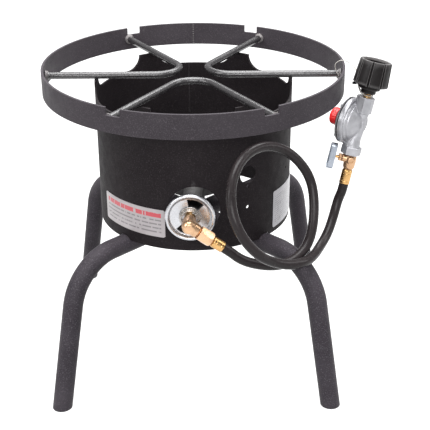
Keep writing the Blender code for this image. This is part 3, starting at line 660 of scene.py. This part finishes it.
# Painted shade: a darkened copy of the die-cast skin, used on the bonnet to stand in for the shade on its side.
SHADED_DIE_CAST = die_cast_metal("die_cast_shadow", (0.1, 0.1, 0.105), (0.15, 0.15, 0.155))
RUBBER = hose_rubber()
# the nut's pale colour paints the highlights on its groove lips, and also colours its scuffs
BLACK_PLASTIC = moulded_plastic(
    "black_plastic", "black_nut_plastic", (0.01, 0.0085, 0.0088), 0.36, 0.06, (0.26, 0.25, 0.25), 0.14
)
RED_PLASTIC = moulded_plastic("red_plastic", "red_knob_plastic", (0.82, 0.022, 0.022), 0.3, 0.1)
WHITE_PLASTIC = moulded_plastic("white_plastic", "pale_tie_plastic", (0.42, 0.4, 0.375), 0.35, 0.15)
LEFT_FILM = label_film("left_label_film", (0.45, 0.415, 0.425), (0.55, 0.03, 0.05), 7, 0.22)
RIGHT_FILM = label_film("right_label_film", (0.42, 0.41, 0.445), None, 17, 0.04)


# ---- camera, light and floor


def camera():
    lens = bpy.data.cameras.new("camera")
    lens.lens = CAMERA_LENS
    eye = add("camera", lens)
    eye.matrix_world = (
        Matrix.Translation(CAMERA_PLACE)
        @ Matrix.Rotation(CAMERA_YAW, 4, "Z")
        @ Matrix.Rotation(math.pi / 2 - CAMERA_DOWN, 4, "X")
        @ Matrix.Rotation(CAMERA_ROLL, 4, "Z")
    )
    bpy.context.scene.camera = eye


def softbox(name, place, size, power):
    light = bpy.data.lights.new(name, "AREA")
    light.shape = "RECTANGLE"
    light.size, light.size_y = size
    light.energy = power
    back = (Vector(place) - LIGHT_AIM).normalized()
    add(name, light).matrix_world = Matrix.Translation(place) @ back.to_track_quat("Z", "Y").to_matrix().to_4x4()


def sky():
    """A world that is white above the horizon and nearly dark under it, and a soft sun straight down."""
    world = bpy.data.worlds.new("studio")
    bpy.context.scene.world = world
    world.use_nodes = True
    tree = world.node_tree
    background = tree.nodes["Background"]
    background.inputs["Color"].default_value = (1.0, 1.0, 1.0, 1.0)
    direction = tree.nodes.new("ShaderNodeTexCoord").outputs["Generated"]
    height = tree.nodes.new("ShaderNodeSeparateXYZ")
    brightness = tree.nodes.new("ShaderNodeMapRange")
    tree.links.new(direction, height.inputs["Vector"])
    tree.links.new(height.outputs["Z"], brightness.inputs["Value"])
    limits = (("From Min", -0.12), ("From Max", 0.0), ("To Min", BELOW_STRENGTH), ("To Max", SKY_STRENGTH))
    for name, value in limits:
        brightness.inputs[name].default_value = value
    tree.links.new(brightness.outputs["Result"], background.inputs["Strength"])
    sun = bpy.data.lights.new("sky_light", "SUN")
    sun.energy = 1.0
    sun.angle = math.radians(50)
    add("sky_light", sun)


def floor():
    """A white, faintly glowing floor that takes no visible shadow and adds no light to matte faces."""
    work = bmesh.new()
    bmesh.ops.create_grid(work, x_segments=2, y_segments=2, size=12.0)
    ground = make("floor", work)
    shader = Shader(None, "pale_floor")
    glow = {"Emission_Color": (1.0, 1.0, 1.0), "Emission_Strength": FLOOR_GLOW}
    ground.data.materials.append(shader.finish((0.32, 0.32, 0.32), 0.9, **glow)[1])
    ground.location.z = -0.0005
    ground.visible_diffuse = False


def studio():
    for light in SOFT_LIGHTS:
        softbox(*light)
    sky()
    floor()
    bpy.context.scene.view_settings.view_transform = "Standard"


# ---- hose


def spline_points(points, count):
    """Evenly spaced points on the cubic B-spline that starts and ends on the given ones."""
    ends = [points[0] * 2 - points[1]] + points + [points[-1] * 2 - points[-2]]
    fine = []
    for a, b, c, d in zip(ends, ends[1:], ends[2:], ends[3:]):
        for step in range(20):
            t = step / 20
            bend = (a - b * 2 + c) * 3 * t**2 + (b * 3 - a - c * 3 + d) * t**3
            fine.append((a + b * 4 + c + (c - a) * 3 * t + bend) / 6)
    fine.append(points[-1])
    lengths = [0.0]
    for before, after in zip(fine, fine[1:]):
        lengths.append(lengths[-1] + (after - before).length)
    even = []
    index = 0
    for step in range(count):
        wanted = lengths[-1] * step / (count - 1)
        while index < len(fine) - 2 and lengths[index + 1] < wanted:
            index += 1
        part = (wanted - lengths[index]) / (lengths[index + 1] - lengths[index])
        even.append(fine[index].lerp(fine[index + 1], min(part, 1.0)))
    return even


def hose_route():
    loop_side = Vector((-LOOP_NORMAL.y, LOOP_NORMAL.x, 0.0)).normalized()
    loop_up = LOOP_NORMAL.normalized().cross(loop_side)
    points = [LOWER_FITTING @ Vector((0.0, 0.0, FERRULE_END + FACE_GAP + run)) for run in HOSE_LEADS]
    points += [Vector(spot) for spot in HOSE_START]
    for number in range(LOOP_COUNT):
        c, s = polar(1.0, math.radians(LOOP_START + LOOP_STEP * number))
        spoke = loop_side * c + loop_up * s
        points.append(LOOP_CENTRE + spoke * LOOP_RADIUS)
    points += [Vector(spot) for spot in HOSE_END]
    points += [REGULATOR @ Vector((0.0, 0.0, -FACE_GAP - run)) for run in reversed(HOSE_LEADS)]
    return spline_points(points, 260)


def hose():
    route = hose_route()
    return dress(sweep("gas_hose_tube", route, HOSE_RADIUS, 28), RUBBER, "gas_hose"), route


# ---- stand


def ring_band():
    low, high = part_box("ring_band")
    outer, inner = high.x, high.x - RING_WALL
    band = lathe("ring_band_shell", wall(outer, inner, low.z, high.z, 8), None, 240)
    cutters = []
    for degrees in NOTCH_ANGLES:
        outline = rounded_box(NOTCH_DEPTH, NOTCH_WIDTH / 2, 0.0012, 3)
        placement = radial_frame(degrees, high.z)
        cutters.append(slab("notch", outline, inner - 0.01, outer + 0.01, placement))
    boolean(band, cutters)
    smooth(edges(band, 0.0005), 20)
    dress(band, BLACK_COAT, "ring_band")
    seam = []
    for number in range(9):
        height = low.z + 0.0025 + 0.0034 * number
        spot = radial_frame(90.5, height) @ Matrix.Translation((0.0, 0.0, inner - 0.0001))
        seam.append(lathe("seam_dot", mm([(0, 0.2), (0.6, 0.1), (1.0, -0.4), (0, -0.4)]), spot, 12))
    weld = join(seam[0], seam[1:])
    weld.name = "ring_seam_weld"
    dress(weld, WELD_COAT)


def rod_outline(height):
    """A pot rod's centreline for a bisector along +X, with a close-set bend."""
    corner = -2.0 * ROD_SIDE_SHIFT
    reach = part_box("ring_band")[1].x - RING_WALL - 0.0005
    along = math.sqrt(reach**2 - ROD_SIDE_SHIFT**2) + math.sqrt(3.0) * ROD_SIDE_SHIFT
    tip = (corner + along * math.cos(math.radians(30)), along * math.sin(math.radians(30)))
    bend = arc((corner + 2 * ROD_BEND, 0.0), ROD_BEND, 120, 240, 32)
    straight = between(tip, bend[0], 20)
    return [(x, y, height) for x, y in straight + bend + [(x, -y) for x, y in reversed(straight)]]


def pot_rods():
    for name, bisector in ROD_BISECTORS.items():
        low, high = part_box(name)
        radius = (high.z - low.z) / 2
        points = rod_outline((low.z + high.z) / 2)
        piece = sweep(name + "_bar", points, radius, 28, placement=turn_z(bisector))
        dress(piece, ROD_COAT, name)
        beads = []
        for end, toward in ((points[0], points[1]), (points[-1], points[-2])):
            inward = (Vector(toward) - Vector(end)).normalized()
            spot = turn_z(bisector) @ axis_frame(end, inward, UP)
            profile = [
                (radius * 0.9, 0.0002), (radius + 0.0024, 0.0004), (radius + 0.0021, 0.0016),
                (radius + 0.0008, 0.0034), (radius * 0.9, 0.0046),
            ]
            beads.append(roughen(lathe("bead", rounded(profile, 0.0008), spot, 48), 330.0, 0.0007))
        bead = join(beads[0], beads[1:])
        bead.name = name + "_welds"
        dress(bead, WELD_COAT)


def windscreen():
    low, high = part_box("windscreen")
    outer = high.x
    inner = outer - SCREEN_WALL
    screen = lathe("windscreen_drum", wall(outer, inner, low.z, high.z, 36), None, 216)
    pitch = 360 / TAB_COUNT
    half = outer * math.sin(math.radians(pitch / 2 - TAB_HALF_ANGLE))
    radius = SCALLOP_DEPTH
    outline = arc((high.z, half - radius), radius, 90, 180, 14)
    outline += arc((high.z, radius - half), radius, 180, 270, 14)
    outline += [(high.z + 0.01, -half), (high.z + 0.01, half)]
    cutters = []
    for number in range(TAB_COUNT):
        placement = radial_frame(pitch * (number + 0.5), 0.0)
        cutters.append(slab("scallop", outline, inner - 0.03, outer + 0.02, placement))
    holes = [(-90, INTAKE.translation.z, INTAKE_HOLE_RADIUS), *SCREEN_HOLES]
    holes += [(degrees, LEG_HEIGHT, LEG_RADIUS + FACE_GAP) for degrees in LEG_ANGLES.values()]
    for degrees, height, size in holes:
        placement = radial_frame(degrees, height)
        cutters.append(slab("drill", circle(size, 48), inner - 0.03, outer + 0.02, placement))
    boolean(screen, cutters)
    smooth(edges(screen, 0.0004), 20)
    lap_angle = 94
    lap_outline = rectangle(low.z + 0.001, high.z - SCALLOP_DEPTH - 0.001, 0.0, 0.0022)
    lap = slab("screen_lap", lap_outline, inner - 0.0006, inner + 0.0002, radial_frame(lap_angle, 0.0))
    dress(screen, SHADED_SCREEN_COAT, "windscreen")
    dress(edges(lap, 0.0002), SHADED_SCREEN_COAT)


def leg_path(below):
    turn = 90 - math.degrees(LEG_SPLAY)
    knee = FOOT_REACH - math.tan(LEG_SPLAY) * LEG_HEIGHT
    tangent = LEG_BEND * math.tan(math.radians(turn) / 2)
    bend = arc((knee - tangent, LEG_HEIGHT - LEG_BEND), LEG_BEND, 90, 90 - turn, 36)
    foot = (FOOT_REACH + math.tan(LEG_SPLAY) * below, -below)
    path = between((-0.02, LEG_HEIGHT), bend[0], 12) + bend[:-1] + between(bend[-1], foot, 30) + [foot]
    return [(x, 0.0, z) for x, z in path]


def legs():
    """Four bent tubes, open at the foot, that cross under the burner."""
    for name, degrees in LEG_ANGLES.items():
        leg = sweep(name + "_tube", leg_path(0.02), LEG_RADIUS, 40)
        bore = sweep("bore", leg_path(0.04), LEG_RADIUS - LEG_WALL, 32)
        cutters = [bore, slab("floor_cut", rectangle(0.0, 0.5, -0.1, 0.1), -0.1, 0.0)]
        for angle in (45, 135):
            cutters.append(slab("mitre", rectangle(-0.1, 0.3, 0.0, 0.2), -0.1, 0.5, turn_z(angle)))
        boolean(leg, cutters)
        edges(leg, 0.0004)
        leg.data.transform(turn_z(degrees))
        dress(leg, LEG_COAT, name)


# ---- burner and intake


def shutter_windows(low, high):
    """Solids that cut the two windows of the shutter and of the web behind it."""
    outlines = [sector(WINDOW_INNER, WINDOW_OUTER, degrees, WINDOW_SPAN) for degrees in WINDOW_ANGLES]
    return [slab("window", outline, low, high, INTAKE) for outline in outlines]


def burner():
    plate_low, plate_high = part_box("burner_head_plate")
    head_top, plate_bottom, head_radius = plate_high.z, plate_low.z, plate_high.x
    floor_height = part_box("burner_casting")[0].z
    bowl_top = plate_bottom - FACE_GAP
    bowl = [
        (0.0, bowl_top), (head_radius, bowl_top), (head_radius, 0.272), (0.04, 0.246), (0.014, 0.246),
        (0.014, floor_height), (0.0, floor_height),
    ]
    outside = [(0.0, WEB_FRONT), (0.028, WEB_FRONT)] + mm([
        (28, 143), (23.5, 134), (16, 118), (13.2, 108), (12.2, 98), (13.5, 60), (18, 30), (0, 30),
    ])
    bore = mm([
        (0, 146), (25.5, 146), (20.5, 134), (13, 118), (9.2, 100), (10.5, 55), (12.5, 20), (0, 20),
    ])
    cavity = [(0.0, head_top), (0.0465, head_top), (0.0465, 0.274), (0.038, 0.252), (0.0, 0.252)]
    casting = lathe("burner_casting_bowl", bowl, None, 56)
    boolean(casting, [lathe("tube", rounded(outside, 0.002), INTAKE, 56)], "UNION")
    cast(casting, 0.0016, 5)
    pillar = lathe("pillar", mm([(0, 300), (9, 300), (9, 244), (0, 244)]), None, 32)
    boolean(casting, [lathe("cavity", cavity, None, 56), lathe("bore", bore, INTAKE, 40)])
    boolean(casting, [pillar], "UNION")
    boolean(casting, shutter_windows(0.142, WEB_FRONT + 0.003))
    dress(casting, CAST_IRON, "burner_casting")

    plate_profile = rounded([
        (0.0, head_top), (head_radius - 0.004, head_top), (head_radius, head_top - 0.002),
        (head_radius, plate_bottom), (0.0, plate_bottom),
    ], 0.0008)
    plate = lathe("burner_head_disc", plate_profile, None, 72)
    ports = []
    for ring_radius, count in ((0.022, 8), (0.038, 14)):
        for number in range(count):
            spot = Matrix.Translation((*polar(ring_radius, FULL_TURN * number / count), 0.0))
            ports.append(slab("port", circle(0.0022, 14), plate_bottom - 0.002, head_top + 0.002, spot))
    boolean(plate, ports)
    dress(plate, CAST_IRON, "burner_head_plate")
    hex_bolt("burner_head_screw", 0.01, 0.0029, 1)
    hex_bolt("burner_bolt", 0.013, 0.0039, -1)


def hex_bolt(node, across, shank, side):
    """A bolt whose head is at its upper end (side 1) or its lower end (side -1)."""
    low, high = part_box(node)
    top, tip = (high.z, low.z) if side > 0 else (low.z, high.z)
    seat = top - side * BOLT_HEAD
    bolt = slab(node + "_hex", polygon(6, across), seat, top)
    edges(bolt, 0.0005, 3)
    join(bolt, [slab("shank", circle(shank, 24), seat + side * 0.0002, tip)])
    dress(bolt, ZINC, node)


def air_shutter():
    """A dished disc with a broad rolled rim and two windows."""
    shutter = turned("air_shutter_disc", [
        (26.5, 0), (31.1, 0), (31.9, 0.6), (32.5, 2.6), (32.1, 4.6), (30.8, 5.9), (29.2, 6), (27.8, 5),
        (26.2, 2.4), (25, 2), (12.5, 2), (12, 1.6), (6.4, 1.6), (6.4, 0),
    ], 0.6, INTAKE, 96, base=SHUTTER_BACK)
    boolean(shutter, shutter_windows(SHUTTER_BACK - 0.003, SHUTTER_BACK + 0.004))
    edges(shutter, 0.0003, 2, 50)
    dress(shutter, ZINC, "air_shutter", body="air_shutter")


def shutter_spring():
    low, high = SHUTTER_BACK + 0.0028, ELBOW_BACK - 0.001
    wide, narrow = 0.0142, 0.0104
    turns, count = 3.2, 180
    points = []
    for step in range(count + 1):
        part = step / count
        spot = polar(wide + (narrow - wide) * part, FULL_TURN * turns * part)
        points.append((*spot, low + (high - low) * part))
    coil = sweep("shutter_spring_coil", points, 0.0008, 12, placement=INTAKE)
    dress(coil, STEEL, "shutter_spring")


def inlet_brass():
    dress(turned("orifice_spud_turned", [
        (0, 161.1), (6, 161.1), (6, 140), (4, 136), (1.6, 132), (0, 132),
    ], 0.4, INTAKE, 40), BRASS_BRIGHT, "orifice_spud")

    elbow = turned("brass_elbow_body", [
        (0, 188.2), (5.8, 187.5), (8.7, 184.6), (9.6, 180), (9.6, 173), (8.7, 170), (8.7, 161.7), (0, 161.7),
    ], 1.2, INTAKE, 56)
    arm = turned("arm", [
        (0, 14.8), (7.2, 14.8), (7.4, 13.6), (8.8, 12.2), (9.2, 4), (8, -4), (0, -4),
    ], 0.8, LOWER_FITTING, 48)
    boolean(elbow, [arm], "UNION")
    cast(elbow, 0.0005, 5)
    dress(elbow, BRASS_CAST, "brass_elbow")

    nut = slab("flare_nut_hex", polygon(6, 0.0175), 0.015, 0.0343, LOWER_FITTING)
    chamfer = lathe("chamfer", mm([
        (0, 34.3), (8.2, 34.3), (10.2, 32.1), (10.2, 16.4), (9, 15), (0, 15),
    ]), LOWER_FITTING, 64)
    boolean(nut, [chamfer], "INTERSECT")
    edges(nut, 0.00045, 3, 25)
    dress(nut, BRASS_CAST, "flare_nut")

    ferrule("lower_ferrule", LOWER_FITTING, 0.0346, 0.052, 5)


def ferrule(node, placement, start, end, neck):
    """A crimped sleeve: a lip by the fitting, a neck, two crimp grooves and a rolled mouth."""
    mouth = mm([(0, 0), (6.6, 0), (7.4, -0.7), (7.4, -4), (7.18, -4.4), (7.18, -4.8), (7.4, -5.2)], end)
    root = mm([
        (7.4, 6.2), (7.18, 5.8), (7.18, 5.4), (7.4, 5), (7.4, 2.2), (6.6, 1.2), (neck, 1), (neck, 0), (0, 0),
    ], start)
    sleeve = lathe(node + "_sleeve", rounded(mouth + root, 0.0003), placement, 56)
    dress(sleeve, BRASS_BRIGHT, node)


# ---- valve and regulator


def valve():
    upside_down = REGULATOR @ Matrix.Translation((0.0, 0.0, 0.0215)) @ Matrix.Rotation(math.pi, 4, "X")
    ferrule("upper_ferrule", upside_down, 0.0, 0.0215, 6.6)

    tee = turned("valve_body_tee", [
        (0, 43.4), (6.6, 43.4), (6.8, 42.2), (8, 41), (8.6, 34), (8.2, 25), (6.2, 21.9), (0, 21.9),
    ], 1.0, REGULATOR, 48)
    arm = turned("arm", [(0, 12.5), (5.6, 12.5), (5.8, 8), (6.6, 0), (0, 0)], 0.6, VALVE_STEM, 40)
    boss_frame = axis_frame(VALVE_STEM.translation, (0.0, -1.0, 0.0), JOINTS["tank_nut_spin"]["axis"])
    boss_frame = boss_frame @ Matrix.Scale(REGULATOR_SCALE, 4)
    boss = turned("boss", [(0, 9.2), (4.6, 9.2), (5.4, 8.4), (5.8, 0), (0, 0)], 0.5, boss_frame, 40)
    boolean(tee, [arm, boss], "UNION")
    cast(tee, 0.00042, 3)
    boolean(tee, [lathe("dimple", mm([(0, 10), (3, 10), (2.6, 8.2), (0, 7.8)]), boss_frame, 24)])
    dress(tee, BRASS_CAST, "valve_body")

    def knurl(angle, radius, height):
        return radius + 0.0003 * math.cos(18 * angle) if 0.0132 < height < 0.0172 else radius

    dress(turned("packing_nut_knurled", [
        (0, 17.5), (4.2, 17.5), (5, 17), (5, 13.4), (4.3, 12.8), (0, 12.8),
    ], 0.3, VALVE_STEM, 144, knurl), BRASS_CAST, "packing_nut")
    stem = turned("valve_stem_pin", [(0, 22.5), (2, 22.5), (2, 12.9), (0, 12.9)], 0.3, VALVE_STEM, 24)
    dress(stem, BRASS_BRIGHT, "valve_stem", body="valve_handle")
    valve_handle()


def valve_handle():
    """A die-cast bar with round ends, a recessed face, a hub and a centre screw."""
    half_length, half_width, low, high = 0.0188, 0.0055, 0.0227, 0.031
    bar = slab("valve_handle_bar", rounded_box(half_length, half_width, 0.0048, 8), low, high, VALVE_STEM)
    recess_outline = rounded_box(half_length - 0.0016, half_width - 0.0014, 0.0036, 8)
    recess = slab("recess", recess_outline, low + 0.0026, high + 0.002, VALVE_STEM)
    boolean(bar, [recess])
    hub = turned("hub", [(0, 27.6), (3.8, 27.6), (4.2, 23.7), (0, 23.7)], 0.5, VALVE_STEM, 32)
    ribs = []
    for offset in (-0.0118, -0.0072, 0.0072, 0.0118):
        outline = rectangle(offset - 0.0006, offset + 0.0006, -0.0045, 0.0045)
        ribs.append(slab("rib", outline, low + 0.001, high - 0.0024, VALVE_STEM))
    boolean(bar, [hub, *ribs], "UNION")
    edges(bar, 0.0005, 3)
    dress(bar, ZINC_HANDLE, "valve_handle", body="valve_handle")
    screw = turned("handle_screw_head", [
        (0, 29.4), (2.2, 29), (2.8, 27.8), (0, 27.8),
    ], 0.3, VALVE_STEM, 28)
    boolean(screw, [slab("slot", rectangle(-0.004, 0.004, -0.0004, 0.0004), 0.0286, 0.0316, VALVE_STEM)])
    dress(screw, ZINC, "handle_screw", body="valve_handle")


def dome_height(distance):
    """How far the body's dome stands out at a distance from its centre."""
    for (far, low), (near, high) in zip(DOME, DOME[1:]):
        if near <= distance <= far:
            return high + (low - high) * (distance - near) / (far - near)
    return DOME[0][1]


def dome_rib(reach, bulge, radius, lift):
    """A rib that bows across the dome, from near the inlet to near the outlet."""
    line = []
    steps = 24
    for step in range(steps + 1):
        part = step / steps
        swell = math.sin(math.pi * part)
        x, y = reach * (2 * part - 1), bulge * swell
        line.append((x, y, -dome_height(math.hypot(x, y)) - lift * swell))
    return sweep("rib", line, radius, 12, placement=BONNET)


def regulator_casting():
    """The body: a hexagon by the valve, the slim core, the inlet boss and the ribbed dome."""
    hexagon, inlet = (
        edges(slab(name, outline, low, high, REGULATOR @ Matrix.Translation((aside, 0.0, 0.0))), 0.0006, 2, 25)
        for name, outline, low, high, aside in (
            ("regulator_body_cast", polygon(6, 0.025), 0.0435, 0.055, 0.0025),
            ("inlet", polygon(8, 0.0238), 0.105, 0.1276, 0.001),
        )
    )
    core = loft("core", [
        (53, 3.8, 12.2, 11.8, 1.0), (60, 4.2, 11.8, 11.4, 1.0), (66, 4, 11, 10.4, 1.0), (72, 1.5, 9, 8.8, 1.0),
        (78, 0, 8, 8, 1.0), (98, 0, 7.9, 7.9, 1.0), (106, 0.5, 10, 10, 0.9), (112, 1, 10.8, 10.8, 0.9),
    ], REGULATOR)
    shell = [(0.0, 0.006), (0.0328, 0.006), (0.033, 0.0046), *((radius, -height) for radius, height in DOME)]
    disc = lathe("disc", rounded(shell, 0.0006), BONNET, 96)
    ribs = [
        dome_rib(0.0265, 0.012, 0.0015, 0.0006), dome_rib(0.0265, -0.004, 0.0015, 0.001),
        dome_rib(0.0245, 0.0045, 0.0012, 0.0008),
    ]
    boolean(hexagon, [core, inlet, disc, *ribs], "UNION")
    boolean(hexagon, [lathe("seat", mm([(0, 30), (33.4, 30), (33.4, 5), (0, 5)]), BONNET, 96)])
    cast(hexagon, 0.00045, 1)
    dress(hexagon, DIE_CAST, "regulator_body")


def regulator_cover():
    """The bonnet, its four screws and the red knob."""
    dress(turned("regulator_bonnet_dome", [
        (5.6, 17.8), (14.5, 17.8), (16.8, 16.5), (20.5, 14.2), (24.2, 11.2), (25.2, 9), (31.8, 9), (33, 8.2),
        (33, 7), (32.2, 6.4), (22.5, 6.4), (20.5, 9.5), (14, 14), (5.6, 15),
    ], 0.5, BONNET, 96), SHADED_DIE_CAST, "regulator_bonnet")
    for number in range(4):
        spot = BONNET @ Matrix.Translation((*polar(0.0292, FULL_TURN * (number + 0.5) / 4), 0.0))
        screw = turned(f"bonnet_screw_head_{number + 1}", [
            (0, 11.4), (2.2, 11.2), (2.9, 10.2), (2.9, 9.2), (0, 9.2),
        ], 0.3, spot, 24)
        cross = [slab("slot", rounded_box(*half, 0.0001, 1), 0.0104, 0.013, spot)
                 for half in ((0.0017, 0.0003), (0.0003, 0.0017))]
        boolean(screw, cross)
        dress(screw, ZINC, f"bonnet_screw_{number + 1}")

    def fluted(angle, radius, height):
        return radius * (1.0 - 0.03 * max(0.0, math.cos(12 * angle)) ** 4) if radius > 0.01 else radius

    dress(turned("regulator_knob_cap", [
        (0, 31.2), (5, 31.4), (9.5, 30.8), (11.8, 29.2), (12.5, 26.5), (12.5, 19.6), (11.8, 19.3), (0, 19.3),
    ], 0.6, BONNET, 120, fluted), RED_PLASTIC, "regulator_knob", body="regulator_knob")


def nut_lobes(angle, radius, height):
    """The hand nut's outline: flat lobes with a groove between each two and a lip beside each groove."""
    if height < TANK_NUT_BACK - 0.0004 or radius < 0.019:
        return radius
    turn = (angle * NUT_LOBES / FULL_TURN - NUT_TURN) % 1.0
    groove = min(turn, 1.0 - turn) * 360 / NUT_LOBES
    flat = math.cos((turn - 0.5) * FULL_TURN / NUT_LOBES)
    size = radius * (1.0 - 0.3 * (1.0 - math.cos(math.pi / NUT_LOBES) / flat))
    groove_edge, lip_edge = 3.2, 6.0
    if groove < groove_edge:
        size -= 0.0024 * (1.0 - (groove / groove_edge) ** 2) ** 0.5
    elif groove < lip_edge:
        size += 0.0005 * math.sin(math.pi * (groove - groove_edge) / (lip_edge - groove_edge))
    return min(size, 0.0245)


def cylinder_connection():
    dress(turned("inlet_nipple_turned", [
        (0, 174.5), (2.2, 174.5), (2.6, 174.8), (5.2, 172.8), (6.8, 169), (6.8, 160.2), (11.5, 159.2),
        (11.5, 156.2), (5.5, 155), (5.5, 122.7), (0, 122.7),
    ], 0.4, REGULATOR, 56), BRASS_BRIGHT, "inlet_nipple")

    mouth, back = TANK_NUT_MOUTH, TANK_NUT_BACK
    profile = [
        (0.0211, mouth), (0.0218, mouth - 0.0012), (0.0225, 0.169), (0.0232, 0.16), (0.0238, 0.151),
        (0.0243, back + 0.0012), (0.0234, back), (0.016, back),
    ] + mm([
        (15.4, 144.4), (15.2, 140.4), (14.2, 139.2), (10.8, 139), (10.6, 138), (10.4, 133.8), (9.8, 133),
        (6.2, 133), (6.2, 154.5), (17.2, 154.5),
    ])
    for step in range(16):
        height = 0.156 + 0.0013 * step
        profile += [(0.0172, height), (0.0168, height + 0.00045)]
    profile.append((0.018, mouth))
    nut = lathe("tank_nut_moulded", profile, REGULATOR, 360, nut_lobes)
    smooth(nut, 32)
    dress(nut, BLACK_PLASTIC, "tank_nut", body="tank_nut")


# ---- tie, labels and inner pieces


def closed_curve(points, count):
    """Points on the closed Catmull-Rom curve through the given ones."""
    points = [Vector(point) for point in points]
    total = len(points)
    result = []
    for i in range(total):
        a, b, c, d = (points[(i + k) % total] for k in (-1, 0, 1, 2))
        for step in range(count):
            t = step / count
            bend = (a * -1 + b * 3 - c * 3 + d) * t**3 + (a * 2 - b * 5 + c * 4 - d) * t**2
            result.append((bend + (c - a) * t + b * 2) * 0.5)
    return result


def tie():
    """The thin plastic loop from the nipple over the ring band (in millimetres), and its toggle."""
    front = [
        (195.5, -8.5, 409.5), (191.2, -8.2, 417.7), (190.5, -9, 426.5), (196.3, -12, 432),
        (204, -20, 433.3), (210.3, -32, 431.5), (214, -39, 426), (214.6, -41, 417.5),
        (214.8, -43.7, 413.6), (215.8, -47.4, 411), (216.8, -54, 406.4), (218.7, -61.7, 403.2),
    ]
    round_nipple = [
        (223.3, -68.9, 402.7), (226.9, -69.9, 402), (232.9, -66.3, 400.3), (233.3, -60.3, 399.6),
        (226.5, -55.5, 400.6), (220.5, -58.5, 402.6),
    ]
    back = [
        (218, -51, 406.5), (216.2, -44.5, 411.8), (215.8, -39.5, 414.5), (216.5, -36.5, 417.5),
        (216.5, -31, 423.5), (212, -20, 428), (205.6, -8, 429.6), (198, 0, 428.4), (192.5, 4, 422.8),
        (192.5, 4.5, 416), (195.5, 4.5, 409.5),
    ]
    under_rod = [(195.5, 2.8, 405.2), (195.5, -2, 404), (195.5, -6.8, 405.2)]
    spots = [[value / 1000 for value in spot] for spot in front + round_nipple + back + under_rod]
    loop = closed_curve(spots, 4)
    cord = sweep("regulator_tie_loop", loop, 0.0006, 10, closed=True)
    dress(cord, WHITE_PLASTIC, "regulator_tie")
    low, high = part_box("tie_toggle")
    middle = (low + high) / 2
    half = (high - low) / 2
    placement = Matrix.Translation(middle) @ Matrix.Rotation(math.pi / 2, 4, "X")
    outline = rounded_box(half.x, half.z, half.x * 0.6, 5)
    toggle = edges(slab("tie_toggle_bar", outline, -half.y, half.y, placement), 0.0004, 2)
    dress(toggle, BLACK_PLASTIC, "tie_toggle")


def label(node, film, start, end):
    """A sticker that follows the windscreen, with its picture's coordinates."""
    low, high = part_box(node)
    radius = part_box("windscreen")[1].x + FACE_GAP
    work = bmesh.new()
    layer = work.loops.layers.uv.new("label")
    columns, rows = 40, 10
    corner = 0.0016
    width = math.radians(end - start) * radius
    span = high.z - low.z

    def point(u, v, size):
        """A vertex at a place on the sticker, drawn in where a corner is round."""
        from_side = min(u, 1 - u) * width
        from_end = min(v, 1 - v) * span
        pull = 0.0
        if from_side < corner and from_end < corner:
            pull = corner - math.sqrt(max(corner**2 - (corner - from_side) ** 2, 0.0))
            pull *= 1.0 - from_end / corner
        height = low.z + span * v + (pull if v < 0.5 else -pull)
        return work.verts.new((*polar(size, math.radians(start + (end - start) * u)), height))

    def quad(corners, spots):
        face = work.faces.new(corners)
        for loop, spot in zip(face.loops, spots):
            loop[layer].uv = spot

    across, along = [x / columns for x in range(columns + 1)], [y / rows for y in range(rows + 1)]
    inner, outer = ([[point(u, v, size) for u in across] for v in along] for size in (radius, radius + 0.0003))
    for row in range(rows):
        for column in range(columns):
            spots = rectangle(column, column + 1, row, row + 1)
            places = [(x / columns, y / rows) for x, y in spots]
            for grid in (inner, outer):
                quad([grid[y][x] for x, y in spots], places)
    rim = [(0, column) for column in range(columns)] + [(row, columns) for row in range(rows)]
    rim += [(rows, column) for column in range(columns, 0, -1)] + [(row, 0) for row in range(rows, 0, -1)]
    for (row, column), (next_row, next_column) in zip(rim, rim[1:] + rim[:1]):
        near = [inner[row][column], inner[next_row][next_column]]
        quad([*near, outer[next_row][next_column], outer[row][column]], [(0.0, 0.0)] * 4)
    dress(make(node + "_film", work), film, node)


def inner_pieces():
    """Materials for the CAD nodes that stay as they are, inside the regulator and the nut."""
    kept = {
        "regulator_diaphragm": RUBBER, "spring_plate": ZINC, "regulator_spring": STEEL,
        "adjusting_screw": BRASS_BRIGHT, "nipple_seal": RUBBER,
    }
    for node, (slot, material) in kept.items():
        piece = frame["nodes"][node]
        piece.data.materials.clear()
        piece.data.materials.append(material)


# ---- the scene

camera()
studio()
tube, route = hose()
ring_band()
pot_rods()
windscreen()
legs()
burner()
air_shutter()
shutter_spring()
inlet_brass()
valve()
regulator_casting()
regulator_cover()
cylinder_connection()
tie()
label("left_label", LEFT_FILM, -153.0, -106.6)
label("right_label", RIGHT_FILM, -37.9, -4.0)
inner_pieces()
tuple(route[0])
[tuple(point) for point in route]
